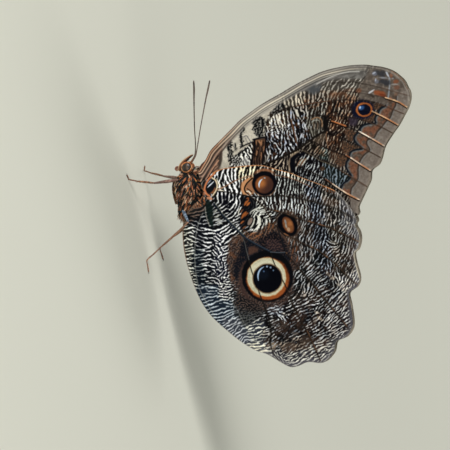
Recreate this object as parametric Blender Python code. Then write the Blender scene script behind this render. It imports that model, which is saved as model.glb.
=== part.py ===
"""Owl butterfly at rest, its four wings closed over its back, as one still life-size model.

The head is towards -X, the back towards +Z and the left side towards -Y. Lengths are in
millimetres until they reach a mesh. Places are given back (x), sideways (y) and up (z) from
the root of the wings, and the whole is then set with its feet on z = 0.
"""
import math

import bmesh
import bpy
import numpy as np
from mathutils import Vector
from mathutils.geometry import delaunay_2d_cdt

# Driving dimensions, in millimetres
MM = 0.001
ROOT_HEIGHT = 22.5        # wing root above the floor
LENGTH_CENTRE = 15.75     # middle of the whole length, back from the wing root
GAP = 0.3                 # clear space between two nodes that touch

# Wings
MEMBRANE = 0.56           # thickness of a wing's membrane
VEIN_RISE = 0.16          # height of a vein above the membrane, on each face
VEIN_HALF_WIDTH = 0.5
HALF_SPREAD = 0.95        # middle of a forewing from the plane between the wings
SPLAY = 0.018             # how fast the wings part towards their tips
FLARE_ABOVE = 5.5         # how far up a wing still bends out round the thorax
FLARE_ROUND = 4.3         # the same round the abdomen
COARSE_MESH = 4.6
FINE_MESH = 2.0

FOREWING_EDGE = [
    (-4.5, -1.8), (-8.5, 2.5), (-14.0, 9.0), (-19.5, 17.0), (-23.2, 25.0), (-26.0, 32.5),
    (-28.0, 40.0), (-29.3, 47.5), (-29.8, 54.5), (-29.0, 61.5), (-26.5, 68.0), (-22.5, 73.3),
    (-18.5, 75.6), (-14.5, 75.8), (-11.5, 74.2), (-9.0, 71.9), (-6.3, 69.0), (-3.2, 66.4),
    (-0.8, 63.4), (3.4, 61.2), (7.0, 57.2), (11.5, 55.2), (15.3, 51.6), (20.0, 49.0),
    (23.5, 45.5), (21.5, 40.0), (16.5, 30.5), (12.0, 21.0), (8.0, 11.0), (4.5, 3.6),
    (2.6, -0.4), (-0.5, -1.9)]
HINDWING_EDGE = [
    (-2.2, 1.2), (-3.9, 4.0), (-4.5, 7.5), (-4.2, 12.0), (-3.5, 17.0), (-2.3, 21.2),
    (-0.5, 25.5), (1.7, 30.0), (4.5, 34.7), (7.6, 39.5), (11.0, 43.8), (14.2, 46.2),
    (17.5, 48.0), (21.5, 49.2), (23.6, 48.1), (26.0, 48.9), (29.0, 48.5), (31.6, 47.0),
    (33.2, 45.7), (36.5, 45.8), (41.0, 45.4), (43.9, 43.9), (46.0, 41.0), (50.5, 41.1),
    (56.0, 40.0), (59.6, 37.3), (61.4, 33.4), (64.6, 31.3), (66.8, 27.6), (65.8, 23.0),
    (66.7, 19.0), (65.8, 15.8), (63.5, 12.8), (60.8, 9.4), (58.0, 5.5), (54.0, 1.0),
    (49.0, -3.0), (43.5, -6.8), (37.5, -9.3), (30.5, -10.7), (23.5, -11.3), (16.5, -11.0),
    (12.3, -9.6), (10.3, -7.2), (8.6, -4.8), (5.6, -3.4), (2.4, -1.4)]

FOREWING_VEINS = {
    "subcosta": [(-3.5, 0.5), (-8.0, 4.5), (-13.0, 11.5), (-19.0, 20.5), (-22.5, 30.0),
                 (-25.0, 39.5), (-26.5, 48.5), (-27.2, 57.5), (-26.5, 62.5), (-24.0, 68.5)],
    "radius": [(-2.5, 1.5), (-7.0, 5.0), (-11.5, 12.5), (-18.0, 22.0), (-20.5, 31.5),
               (-20.2, 38.0), (-19.5, 45.5), (-18.5, 52.0), (-17.3, 57.0), (-15.5, 62.0),
               (-12.7, 67.0), (-9.5, 71.5)],
    "radius_3": [(-20.2, 38.0), (-22.5, 46.0), (-23.6, 53.0), (-23.0, 58.5), (-21.5, 62.5),
                 (-20.0, 66.5), (-17.5, 70.5), (-15.8, 75.0)],
    "radius_4": [(-19.5, 45.5), (-21.2, 52.0), (-20.2, 58.5), (-18.2, 63.0), (-16.2, 67.2),
                 (-14.2, 70.5), (-12.3, 73.5)],
    "radius_5": [(-18.5, 52.0), (-16.8, 55.8), (-14.7, 58.8), (-12.5, 62.0), (-9.0, 66.0),
                 (-6.5, 68.7)],
    "cell_end": [(-19.5, 45.5), (-17.0, 44.5), (-14.2, 45.0), (-11.5, 45.4), (-9.5, 45.0)],
    "medial_1": [(-14.2, 45.0), (-13.8, 49.5), (-12.5, 54.2), (-10.5, 58.0), (-8.0, 61.8),
                 (-5.5, 65.0), (-3.8, 66.5)],
    "medial_2": [(-11.5, 45.4), (-10.8, 49.0), (-9.3, 52.2), (-7.3, 56.0), (-4.3, 59.8),
                 (-1.0, 63.2)],
    "medial_3": [(-9.5, 45.0), (-6.5, 49.0), (-3.6, 52.6), (-1.0, 56.0), (1.3, 58.9),
                 (3.2, 61.0)],
    "cubitus": [(0.5, 0.5), (-1.0, 8.0), (-2.0, 15.0), (-3.2, 21.0), (-4.4, 26.0),
                (-5.4, 31.5), (-6.2, 35.0), (-7.5, 38.5), (-8.5, 41.5), (-9.5, 45.0)],
    "cubital_1": [(-7.5, 38.5), (-5.2, 43.0), (-2.5, 46.3), (0.0, 49.4), (2.6, 52.3),
                  (5.3, 55.3), (6.8, 56.9)],
    "cubital_2": [(-6.2, 35.0), (-3.3, 39.4), (-0.6, 42.8), (2.3, 45.8), (5.5, 48.8),
                  (9.0, 52.3), (11.3, 54.7)],
    "anal": [(1.5, 1.0), (1.0, 11.0), (1.6, 21.5), (3.4, 31.5), (7.0, 39.5), (11.0, 45.5),
             (13.5, 48.6), (15.1, 50.8)],
}
HINDWING_VEINS = {
    "humeral": [(0.8, 2.0), (-1.5, 3.4), (-2.6, 5.4)],
    "subcosta": [(0.8, 2.0), (1.5, 7.0), (0.7, 10.0), (0.0, 13.0), (-0.2, 17.0), (-0.1, 21.0),
                 (1.2, 25.2), (3.6, 29.8), (6.5, 35.0), (9.3, 40.0), (12.8, 44.6)],
    "radius": [(2.0, 3.8), (3.2, 7.0), (4.6, 10.5), (6.0, 13.0), (7.0, 15.5), (7.7, 19.5),
               (8.4, 23.5), (9.1, 26.6), (10.2, 29.8), (12.0, 33.7), (14.7, 38.7),
               (18.3, 44.0), (21.3, 48.0)],
    "medial_1": [(7.0, 15.5), (9.0, 18.0), (11.4, 20.0), (13.4, 22.4), (14.9, 25.4),
                 (16.2, 28.3), (17.9, 31.8), (19.8, 35.3), (22.4, 39.7), (25.5, 44.3),
                 (28.2, 47.9)],
    "medial_2": [(11.4, 20.0), (16.2, 20.6), (20.0, 22.5), (23.2, 25.3), (25.3, 28.5),
                 (29.0, 33.7), (32.8, 37.4), (36.0, 40.4), (39.0, 43.0), (41.0, 44.8)],
    "cell_end": [(20.0, 22.5), (24.0, 23.0), (27.5, 22.5)],
    "medial_3": [(27.5, 22.5), (31.0, 24.5), (34.5, 26.5), (39.2, 29.0), (44.0, 31.6),
                 (48.6, 34.0), (53.0, 36.7), (56.2, 39.2)],
    "cubitus": [(5.0, 0.8), (10.0, 4.3), (15.0, 6.9), (18.2, 9.0), (21.2, 11.6), (24.0, 14.2),
                (26.3, 17.2), (27.5, 22.5)],
    "cubital_1": [(26.3, 17.2), (29.5, 18.4), (33.2, 19.4), (38.0, 20.2), (41.8, 21.0),
                  (46.5, 22.2), (51.7, 23.9), (58.0, 25.7), (66.0, 27.3)],
    "cubital_2": [(18.2, 9.0), (22.4, 9.3), (26.3, 9.6), (30.7, 10.2), (35.0, 10.8),
                  (39.0, 11.3), (43.0, 12.0), (47.6, 12.6), (52.6, 13.2), (59.0, 14.3),
                  (65.2, 15.9)],
    "anal_1": [(5.0, 0.8), (7.0, -0.2), (11.5, -0.6), (17.0, -0.5), (21.0, -0.2), (25.0, 0.0),
               (29.5, 0.2), (35.0, 0.9), (41.2, 2.1), (48.0, 4.0), (55.0, 6.5), (59.2, 8.3)],
    "anal_3": [(7.0, -0.2), (9.0, -2.2), (12.2, -4.4), (17.5, -6.6), (22.5, -7.8),
               (27.5, -8.4), (32.5, -8.5), (37.5, -7.9), (41.8, -6.6)],
}

# Body: how far back, middle height, half width and half height of each cross-section
THORAX_SECTIONS = [
    (-5.3, -4.9, 2.0, 2.2), (-4.6, -5.0, 3.3, 3.9), (-3.2, -5.0, 4.1, 4.8),
    (-1.0, -5.0, 4.6, 5.3), (1.5, -5.1, 4.7, 5.3), (4.0, -5.5, 4.4, 4.9),
    (6.5, -6.1, 3.8, 4.2), (8.4, -6.6, 3.0, 3.3)]
ABDOMEN_SECTIONS = [
    (8.7, -6.7, 2.7, 2.9), (11.2, -6.9, 3.0, 3.2), (14.0, -7.0, 3.1, 3.2),
    (17.2, -7.1, 3.1, 3.2), (20.4, -7.2, 2.9, 3.0), (23.6, -7.3, 2.6, 2.7),
    (26.6, -7.4, 2.2, 2.3), (29.4, -7.5, 1.7, 1.8), (31.6, -7.5, 1.1, 1.2),
    (33.0, -7.5, 0.5, 0.6)]
BODY_SIDES = 18
SEGMENT_GROOVE = 0.06     # share of the radius that the joint between two rings takes in

# Head
HEAD_CENTRE = (-7.3, 0.0, -4.8)
HEAD_HALF = (1.9, 2.1, 2.05)
NECK_FACE = -5.6
EYE_HALF = (1.68, 1.3, 1.62)
EYE_CENTRE = (-7.55, 1.95, -4.6)
PALP_ROUTE = [
    (-6.9, 0.95, -7.2), (-7.6, 1.05, -7.85), (-8.9, 1.1, -7.35), (-10.1, 1.05, -6.0),
    (-10.8, 0.95, -4.2), (-11.2, 0.8, -2.3)]
PALP_RADII = [0.38, 0.48, 0.52, 0.52, 0.42, 0.26]
TONGUE_CENTRE = (-7.7, 0.0, -8.15)
TONGUE_RADIUS = 1.05
TONGUE_HALF_THICKNESS = 0.26
FEELER_ROUTE = [
    (-8.85, 0.9, -3.1), (-9.8, 0.95, -2.0), (-10.9, 1.0, -1.1), (-12.6, 1.3, -0.4),
    (-15.6, 2.9, 0.5), (-19.3, 5.4, 1.5), (-24.3, 8.5, 3.0), (-29.4, 11.6, 4.6),
    (-32.6, 13.7, 5.7), (-35.3, 15.6, 6.5)]
FEELER_RADII = [0.34, 0.3, 0.28, 0.27, 0.26, 0.26, 0.27, 0.31, 0.38, 0.3]

# Legs: hip, knee, ankle, the start of the foot on the floor and its tip. The floor is at 0 here.
LEG_SIDES = 8
FOOT_RADIUS = 0.3
FORELEG_SIDE = 0.95
FORELEG_X = (-4.4, 3.6)
FORELEG_RADIUS = 0.42
NEAR_MID_LEG = [(-3.9, -2.0, 14.4), (-4.5, -8.5, 7.1), (-6.2, -13.2, 2.5), (-7.4, -15.2, 0.0),
                (-8.9, -17.2, 0.0)]
FAR_MID_LEG = [(-4.3, 2.0, 14.4), (-6.3, 8.0, 7.8), (-8.4, 12.8, 2.7), (-9.7, 15.0, 0.0),
               (-11.1, 17.2, 0.0)]
NEAR_HIND_LEG = [(5.9, -1.6, 13.4), (10.8, -9.4, 16.0), (17.0, -12.7, 5.9), (20.6, -14.0, 0.0),
                 (24.6, -15.4, 0.0)]
FAR_HIND_LEG = [(5.9, 1.6, 13.4), (10.3, 9.4, 16.0), (14.6, 12.2, 5.9), (17.6, 13.3, 0.0),
                (21.6, 14.8, 0.0)]
FEMUR_RADII = (0.5, 0.66, 0.42)
TIBIA_RADII = (0.36, 0.42, 0.38)

# Colour, roughness and metallic value of each finish
FINISHES = {
    "scaled_wing": ((0.16, 0.11, 0.08, 1.0), 0.75, 0.0),
    "furred_body": ((0.19, 0.08, 0.04, 1.0), 0.85, 0.0),
    "leg_shell": ((0.23, 0.12, 0.09, 1.0), 0.6, 0.0),
    "eye": ((0.03, 0.018, 0.012, 1.0), 0.15, 0.0),
}


def finish(name):
    """The material of one finish, made once."""
    made = bpy.data.materials.get(name)
    if made is None:
        colour, roughness, metallic = FINISHES[name]
        made = bpy.data.materials.new(name)
        made.use_nodes = True
        shader = made.node_tree.nodes["Principled BSDF"]
        shader.inputs["Base Color"].default_value = colour
        shader.inputs["Roughness"].default_value = roughness
        shader.inputs["Metallic"].default_value = metallic
        made.diffuse_color = colour
    return made


def add_node(name, bm, look, body):
    """Closes a sub-part's mesh, turns its faces out and places it on the body."""
    bmesh.ops.triangulate(bm, faces=[f for f in bm.faces if len(f.verts) > 4])
    bmesh.ops.recalc_face_normals(bm, faces=bm.faces)
    bmesh.ops.scale(bm, vec=(MM, MM, MM), verts=bm.verts)
    mesh = bpy.data.meshes.new(name)
    bm.to_mesh(mesh)
    bm.free()
    mesh.materials.append(finish(look))
    mesh.shade_smooth()
    node = bpy.data.objects.new(name, mesh)
    bpy.context.scene.collection.objects.link(node)
    node.parent = body
    return node


def smooth(points, steps):
    """A smooth open curve through the points, with so many steps to each stretch."""
    ends = [points[0]] + list(points) + [points[-1]]
    curve = []
    for i in range(1, len(ends) - 2):
        p = [Vector(ends[i + k]) for k in (-1, 0, 1, 2)]
        for step in range(steps):
            t = step / steps
            curve.append(0.5 * (2 * p[1] + t * (p[2] - p[0])
                                + t * t * (2 * p[0] - 5 * p[1] + 4 * p[2] - p[3])
                                + t ** 3 * (3 * p[1] - p[0] - 3 * p[2] + p[3])))
    curve.append(Vector(points[-1]))
    return curve


def stations(rows, steps):
    """The cross-sections with smooth ones between them: x, middle height, half width and height."""
    pairs = smooth([Vector((r[0], r[1], 0)) for r in rows], steps)
    sizes = smooth([Vector((r[2], r[3], 0)) for r in rows], steps)
    return np.array([(p.x, p.y, s.x, s.y) for p, s in zip(pairs, sizes)])


def half_width(body_part, x, z):
    """How far the body's side is from the middle plane at a point, 0 outside its outline."""
    if x < body_part[0, 0] or x > body_part[-1, 0]:
        return 0.0
    middle, wide, high = (np.interp(x, body_part[:, 0], body_part[:, k]) for k in (1, 2, 3))
    return wide * math.sqrt(max(0.0, 1.0 - ((z - middle) / high) ** 2))


def grooved(rows):
    """Abdomen sections with a shallow groove between one ring and the next."""
    rings = []
    for k in range(len(rows) - 1):
        for step, share in ((0.0, 1.0 - SEGMENT_GROOVE), (0.2, 1.0), (0.8, 1.01)):
            row = [a + (b - a) * step for a, b in zip(rows[k], rows[k + 1])]
            rings.append((row[0], row[1], row[2] * share, row[3] * share))
    rings.append(rows[-1])
    return np.array(rings)


THORAX = stations(THORAX_SECTIONS, 2)
ABDOMEN = grooved(ABDOMEN_SECTIONS)


# The wings' sideways shape
def wing_low_edge(x):
    """The lowest height that a wing covers at a place along the body."""
    return float(np.interp(x, (2.0, 5.0, 12.0), (-2.6, -4.2, -11.5)))


def flare_middle(x):
    return float(np.interp(x, (3.0, 12.0), (-3.0, -7.1)))


def flare_height(x):
    return float(np.interp(x, (4.0, 12.0), (FLARE_ABOVE, FLARE_ROUND)))


def flare_needed(x):
    """How far the wings have to stand out at x to clear the thorax and the abdomen."""
    most = 0.0
    low = wing_low_edge(x)
    for step in range(60):
        z = low + 0.2 * step
        side = max(half_width(THORAX, x, z), half_width(ABDOMEN, x, z))
        if side > 0.0:
            clear = side + GAP + 0.5 * MEMBRANE + VEIN_RISE - HALF_SPREAD
            bend = math.exp(-((z - flare_middle(x)) / flare_height(x)) ** 2)
            most = max(most, clear / bend)
    return most


def softened(values, reach):
    """The greatest of the neighbours, then their mean, so that it is smooth and never less."""
    count = len(values)
    spans = [values[max(0, k - reach):k + reach + 1] for k in range(count)]
    highest = [max(s) for s in spans]
    return [float(np.mean(highest[max(0, k - reach):k + reach + 1])) for k in range(count)]


FLARE_X = [x - 10.0 for x in range(60)]
FLARE = softened([flare_needed(x) for x in FLARE_X], 2)


def spread(x, z):
    """The middle of a forewing's membrane from the plane between the wings."""
    flare = float(np.interp(x, FLARE_X, FLARE))
    bend = math.exp(-((z - flare_middle(x)) / flare_height(x)) ** 2)
    return HALF_SPREAD + SPLAY * math.hypot(x, z) + flare * bend


def outer_layer(x, z):
    """How much further out a hindwing lies, because a forewing is under it."""
    inner_edge = float(np.interp(z, (-2.0, 3.6, 11.0, 21.0, 30.5, 40.0, 50.0),
                                 (2.6, 4.5, 8.0, 12.0, 16.5, 21.5, 28.0)))
    past = min(1.0, max(0.0, (x - inner_edge - 1.5) / 7.0))
    ease = past * past * (3.0 - 2.0 * past)
    return (MEMBRANE + 2 * VEIN_RISE + GAP) * (1.0 - ease)


def forewing_side(x, z):
    return spread(x, z)


def hindwing_side(x, z):
    return spread(x, z) + outer_layer(x, z)


# Wings
def distance_to(point, line):
    """The distance from a point to a broken line."""
    least = 1e9
    for a, b in zip(line, line[1:]):
        along = b - a
        t = max(0.0, min(1.0, (point - a).dot(along) / max(along.length_squared, 1e-9)))
        least = min(least, (point - a - along * t).length)
    return least


def bends(p):
    """Whether the wing still bends out round the body at a place."""
    return spread(p.x, p.y) - HALF_SPREAD - SPLAY * p.length > 0.2


def divided(line):
    """The same broken line with more points where the wing bends round the body."""
    made = [line[0]]
    for a, b in zip(line, line[1:]):
        longest = FINE_MESH if bends(a) or bends(b) else 2.0 * COARSE_MESH
        count = math.ceil((b - a).length / longest)
        made += [a.lerp(b, (k + 1) / count) for k in range(count)]
    return made


def inside(point, outline):
    hit = False
    for a, b in zip(outline, outline[1:] + outline[:1]):
        if (a.y > point.y) != (b.y > point.y):
            if point.x < (b.x - a.x) * (point.y - a.y) / (b.y - a.y) + a.x:
                hit = not hit
    return hit


def vein_lines(veins, outline):
    """The middle line of each vein, kept inside the wing's edge."""
    closed = outline + outline[:1]
    lines = []
    for points in veins.values():
        curve = divided(smooth([Vector(p) for p in points], 1))
        line = [p for p in curve if inside(p, outline) and distance_to(p, closed) > 0.7]
        if len(line) > 1:
            lines.append(line)
    return lines


def flanks(line, others):
    """The two foot lines of a vein's ridge, broken where another vein is too close."""
    made = []
    for side in (-1, 1):
        run = []
        for i, p in enumerate(line):
            along = (line[min(i + 1, len(line) - 1)] - line[max(i - 1, 0)]).normalized()
            q = p + Vector((-along.y, along.x)) * VEIN_HALF_WIDTH * side
            near = min([distance_to(q, o) for o in others] + [distance_to(q, line) + 0.02])
            if near > 0.85 * VEIN_HALF_WIDTH:
                run.append(q)
            else:
                made.append(run)
                run = []
        made.append(run)
    return [run for run in made if run]


def mesh_places(outline, lines):
    """Points spread over the open membrane, closer together where it bends round the body."""
    closed = outline + outline[:1]
    low = Vector((min(p.x for p in outline), min(p.y for p in outline)))
    high = Vector((max(p.x for p in outline), max(p.y for p in outline)))
    places = []
    for spacing, close in ((FINE_MESH, True), (COARSE_MESH, False)):
        for row in range(int((high.y - low.y) / spacing / 0.87) + 1):
            for column in range(int((high.x - low.x) / spacing) + 2):
                shift = 0.5 * spacing * (row % 2)
                p = Vector((low.x + column * spacing + shift, low.y + row * spacing * 0.87))
                if bends(p) != close or not inside(p, outline):
                    continue
                if distance_to(p, closed) < 0.45 * spacing:
                    continue
                if min(distance_to(p, line) for line in lines) < 0.45 * spacing + 0.3:
                    continue
                places.append(p)
    return places


def add_wing(name, outline, veins, side_of, left, body):
    """One wing: its membrane and veins from the same triangles on both faces."""
    corners = [Vector(p) for p in outline]
    edge = divided(corners + corners[:1])[:-1]
    lines = vein_lines(veins, edge)
    foot_lines = []
    for line in lines:
        foot_lines += flanks(line, [o for o in lines if o is not line])
    points = list(edge)
    edges = [(i, (i + 1) % len(edge)) for i in range(len(edge))]
    for line in lines + foot_lines:
        first = len(points)
        points += line
        edges += [(first + i, first + i + 1) for i in range(len(line) - 1)]
    points += mesh_places(edge, lines)
    flat, _, faces, *_ = delaunay_2d_cdt(points, edges, [], 1, 0.02)
    bm = bmesh.new()
    direction = -1.0 if left else 1.0
    shells = []
    for face_side in (1.0, -1.0):
        shell = []
        for p in flat:
            near = min(distance_to(p, line) for line in lines)
            ridge = VEIN_RISE * max(0.0, 1.0 - near / VEIN_HALF_WIDTH)
            y = side_of(p.x, p.y) + face_side * (0.5 * MEMBRANE + ridge)
            shell.append(bm.verts.new((p.x, direction * y, p.y)))
        shells.append(shell)
    count = {}
    for face in faces:
        for a, b in zip(face, face[1:] + face[:1]):
            count[(a, b)] = count.get((a, b), 0) + 1
    for face in faces:
        bm.faces.new([shells[0][i] for i in face])
        bm.faces.new([shells[1][i] for i in reversed(face)])
    for a, b in count:
        if (b, a) not in count:
            bm.faces.new([shells[0][b], shells[0][a], shells[1][a]])
            bm.faces.new([shells[0][b], shells[1][a], shells[1][b]])
    add_node(name, bm, "scaled_wing", body)


# Round forms
def bridge(bm, rings):
    """Joins rings of points into one closed skin with a fan over each end."""
    for ring, nearer in ((rings[0], rings[1]), (rings[-1], rings[-2])):
        middle = sum((v.co for v in ring), Vector()) / len(ring)
        tip = bm.verts.new(middle)
        for a, b in zip(ring, ring[1:] + ring[:1]):
            bm.faces.new((a, b, tip) if ring is rings[0] else (b, a, tip))
    for low, high in zip(rings, rings[1:]):
        for i in range(len(low)):
            j = (i + 1) % len(low)
            bm.faces.new((low[i], high[i], high[j], low[j]))


def add_body_part(name, rows, body):
    """Thorax or abdomen: oval sections across the body's length."""
    bm = bmesh.new()
    rings = []
    for x, middle, wide, high in rows:
        turns = [2 * math.pi * (k + 0.5) / BODY_SIDES for k in range(BODY_SIDES)]
        rings.append([bm.verts.new((x, wide * math.cos(a), middle + high * math.sin(a)))
                      for a in turns])
    bridge(bm, rings)
    return add_node(name, bm, "furred_body", body)


def ring_round(centre, direction, across, radius, sides):
    """Points of one ring across a limb, with a flat side facing down where it lies level."""
    u = (across - across.dot(direction) * direction).normalized()
    w = direction.cross(u)
    turns = [2 * math.pi * (k + 0.5) / sides for k in range(sides)]
    return [centre + radius * (math.cos(a) * u + math.sin(a) * w) for a in turns]


def tube_rings(points, radii, across, sides):
    rings = []
    for i, p in enumerate(points):
        before = (p - points[i - 1]).normalized() if i else Vector()
        after = (points[i + 1] - p).normalized() if i + 1 < len(points) else Vector()
        rings.append(ring_round(p, (before + after).normalized(), across, radii[i], sides))
    return rings


def add_tube(name, rings, look, body):
    bm = bmesh.new()
    bridge(bm, [[bm.verts.new(p) for p in ring] for ring in rings])
    return add_node(name, bm, look, body)


def leave_thorax(point, direction):
    """Where a line from inside the thorax comes out of it, a gap further on."""
    low, high = 0.0, 12.0
    for _ in range(40):
        middle = 0.5 * (low + high)
        p = point + direction * middle
        if abs(p.y) < half_width(THORAX, p.x, p.z):
            low = middle
        else:
            high = middle
    return point + direction * (high + GAP + 0.05)


# Head
def add_ball(name, centre, half, look, body, segments=16, rings=10):
    bm = bmesh.new()
    bmesh.ops.create_uvsphere(bm, u_segments=segments, v_segments=rings, radius=1.0)
    bmesh.ops.scale(bm, vec=half, verts=bm.verts)
    bmesh.ops.translate(bm, vec=centre, verts=bm.verts)
    return add_node(name, bm, look, body)


def cut_away(node, cutter):
    """Takes a guide's shape out of a sub-part and removes the guide."""
    cut = node.modifiers.new("cut", "BOOLEAN")
    cut.operation = "DIFFERENCE"
    cut.object = cutter
    bpy.context.view_layer.update()
    held = node.evaluated_get(bpy.context.evaluated_depsgraph_get())
    mesh = bpy.data.meshes.new_from_object(held)
    node.modifiers.clear()
    node.data = mesh
    bpy.data.objects.remove(cutter)


def add_head(body):
    """The head between its eyes, with a socket for each and a flat back towards the thorax."""
    head = add_ball("head", HEAD_CENTRE, HEAD_HALF, "furred_body", body, 20, 12)
    for side in (-1.0, 1.0):
        x, y, z = EYE_CENTRE
        reach = [half + GAP for half in EYE_HALF]
        cut_away(head, add_ball("socket", (x, side * y, z), reach, "eye", body, 20, 14))
    bm = bmesh.new()
    bmesh.ops.create_cube(bm, size=8.0)
    bmesh.ops.translate(bm, vec=(NECK_FACE + 4.0, 0.0, HEAD_CENTRE[2]), verts=bm.verts)
    cut_away(head, add_node("neck_cut", bm, "furred_body", body))


def add_head_parts(name_end, side, body):
    x, y, z = EYE_CENTRE
    add_ball("eye_" + name_end, (x, side * y, z), EYE_HALF, "eye", body, 20, 12)
    across = Vector((0.0, 1.0, 0.0))
    route = smooth([Vector((p[0], side * p[1], p[2])) for p in PALP_ROUTE], 2)
    radii = [r.x for r in smooth([Vector((r, 0.0)) for r in PALP_RADII], 2)]
    add_tube("palp_" + name_end, tube_rings(route, radii, across, 8), "furred_body", body)
    route = smooth([Vector((p[0], side * p[1], p[2])) for p in FEELER_ROUTE], 2)
    radii = [r.x for r in smooth([Vector((r, 0.0)) for r in FEELER_RADII], 2)]
    add_tube("antenna_" + name_end, tube_rings(route, radii, across, 6), "leg_shell", body)


def add_tongue(body):
    """The coiled tongue, as the round it is coiled into."""
    x, y, z = TONGUE_CENTRE
    rings = []
    for share, aside in ((0.62, 1.0), (0.9, 0.8), (1.0, 0.35), (1.0, -0.35), (0.9, -0.8),
                         (0.62, -1.0)):
        turns = [2 * math.pi * k / 14 for k in range(14)]
        radius = TONGUE_RADIUS * share
        rings.append([Vector((x + radius * math.cos(a), y + TONGUE_HALF_THICKNESS * aside,
                              z + radius * math.sin(a))) for a in turns])
    add_tube("proboscis", rings, "leg_shell", body)


# Legs
def add_leg(name, name_end, places, body):
    """Thigh, shin and foot, each its own sub-part, meeting on the plane that halves the bend."""
    lift = FOOT_RADIUS * math.cos(math.pi / LEG_SIDES)
    hip, knee, ankle, heel, toe = [Vector((x, y, z - ROOT_HEIGHT)) for x, y, z in places]
    heel.z += lift
    toe.z += lift
    across = (knee - hip).cross(ankle - knee)
    across.z = 0.0
    across.normalize()
    thigh = (knee - hip).normalized()
    shin = (ankle - knee).normalized()
    foot = (heel - ankle).normalized()
    at_knee = (thigh + shin).normalized() * (0.5 * GAP / max(0.3, math.cos(
        0.5 * thigh.angle(shin))))
    at_ankle = (shin + foot).normalized() * (0.6 * GAP)
    first = ring_round(hip, thigh, across, FEMUR_RADII[0], LEG_SIDES)
    rings = [[leave_thorax(p, thigh) for p in first]]
    start = sum(rings[0], Vector()) / LEG_SIDES
    bulge = start + 0.45 * (knee - start)
    rings.append(ring_round(bulge, thigh, across, FEMUR_RADII[1], LEG_SIDES))
    knee_plane = (thigh + shin).normalized()
    rings.append(ring_round(knee - at_knee, knee_plane, across, FEMUR_RADII[2], LEG_SIDES))
    add_tube(f"{name}_femur_{name_end}", rings, "leg_shell", body)
    ankle_plane = (shin + foot).normalized()
    rings = [
        ring_round(knee + at_knee, knee_plane, across, TIBIA_RADII[0], LEG_SIDES),
        ring_round(knee + 0.5 * (ankle - knee), shin, across, TIBIA_RADII[1], LEG_SIDES),
        ring_round(ankle - at_ankle, ankle_plane, across, TIBIA_RADII[2], LEG_SIDES)]
    add_tube(f"{name}_tibia_{name_end}", rings, "leg_shell", body)
    level = (toe - heel).normalized()
    tip = toe + level * 0.5
    rings = [
        ring_round(ankle + at_ankle, ankle_plane, across, FOOT_RADIUS, LEG_SIDES),
        ring_round(heel, (foot + level).normalized(), across, FOOT_RADIUS, LEG_SIDES),
        ring_round(heel + 0.5 * (toe - heel), level, across, FOOT_RADIUS, LEG_SIDES),
        ring_round(toe, level, across, FOOT_RADIUS, LEG_SIDES),
        ring_round(tip, level, across, 0.6 * FOOT_RADIUS, LEG_SIDES)]
    for ring in rings[1:]:
        for p in ring:
            p.z = max(p.z, -ROOT_HEIGHT)
            if p.z < -ROOT_HEIGHT + 0.1 * FOOT_RADIUS:
                p.z = -ROOT_HEIGHT
    add_tube(f"{name}_tarsus_{name_end}", rings, "leg_shell", body)


def add_foreleg(name_end, side, body):
    """A short foreleg that doesn't walk, folded back along the underside of the thorax."""
    route = []
    steps = 8
    for k in range(steps + 1):
        x = FORELEG_X[0] + (FORELEG_X[1] - FORELEG_X[0]) * k / steps
        middle, wide, high = (float(np.interp(x, THORAX[:, 0], THORAX[:, i]))
                              for i in (1, 2, 3))
        drop = high * math.sqrt(1.0 - ((FORELEG_SIDE - FORELEG_RADIUS) / wide) ** 2)
        route.append(Vector((x, side * FORELEG_SIDE,
                             middle - drop - GAP - FORELEG_RADIUS - 0.02)))
    shares = [math.sin(math.pi * (0.2 + 0.62 * k / steps)) for k in range(steps + 1)]
    radii = [FORELEG_RADIUS * s for s in shares]
    add_tube("foreleg_" + name_end, tube_rings(route, radii, Vector((0, 1, 0)), 8),
             "furred_body", body)


def clear_scene():
    for thing in list(bpy.data.objects):
        bpy.data.objects.remove(thing)
    for mesh in list(bpy.data.meshes):
        bpy.data.meshes.remove(mesh)


def main():
    clear_scene()
    body = bpy.data.objects.new("wing_root", None)
    bpy.context.scene.collection.objects.link(body)
    body.location = (-LENGTH_CENTRE * MM, 0.0, ROOT_HEIGHT * MM)
    add_body_part("thorax", THORAX, body)
    add_body_part("abdomen", ABDOMEN, body)
    add_head(body)
    add_tongue(body)
    for name_end, side in (("left", -1.0), ("right", 1.0)):
        left = side < 0
        add_head_parts(name_end, side, body)
        add_foreleg(name_end, side, body)
        add_wing("forewing_" + name_end, FOREWING_EDGE, FOREWING_VEINS, forewing_side, left, body)
        add_wing("hindwing_" + name_end, HINDWING_EDGE, HINDWING_VEINS, hindwing_side, left, body)
        add_leg("midleg", name_end, NEAR_MID_LEG if left else FAR_MID_LEG, body)
        add_leg("hindleg", name_end, NEAR_HIND_LEG if left else FAR_HIND_LEG, body)


main()
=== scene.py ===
"""Owl butterfly at rest: the looks of the model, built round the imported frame.

The head is towards -X, the back towards +Z and the left side towards -Y. Places on the insect
are in millimetres back (x), sideways (y) and up (z) from the root of the wings. Markings are
drawn on a chart, the wing as the camera sees it, whose unit is CHART_UNIT millimetres.
"""
import math

import bpy
import numpy as np
from mathutils import Matrix, Vector
from mathutils.geometry import delaunay_2d_cdt


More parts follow.
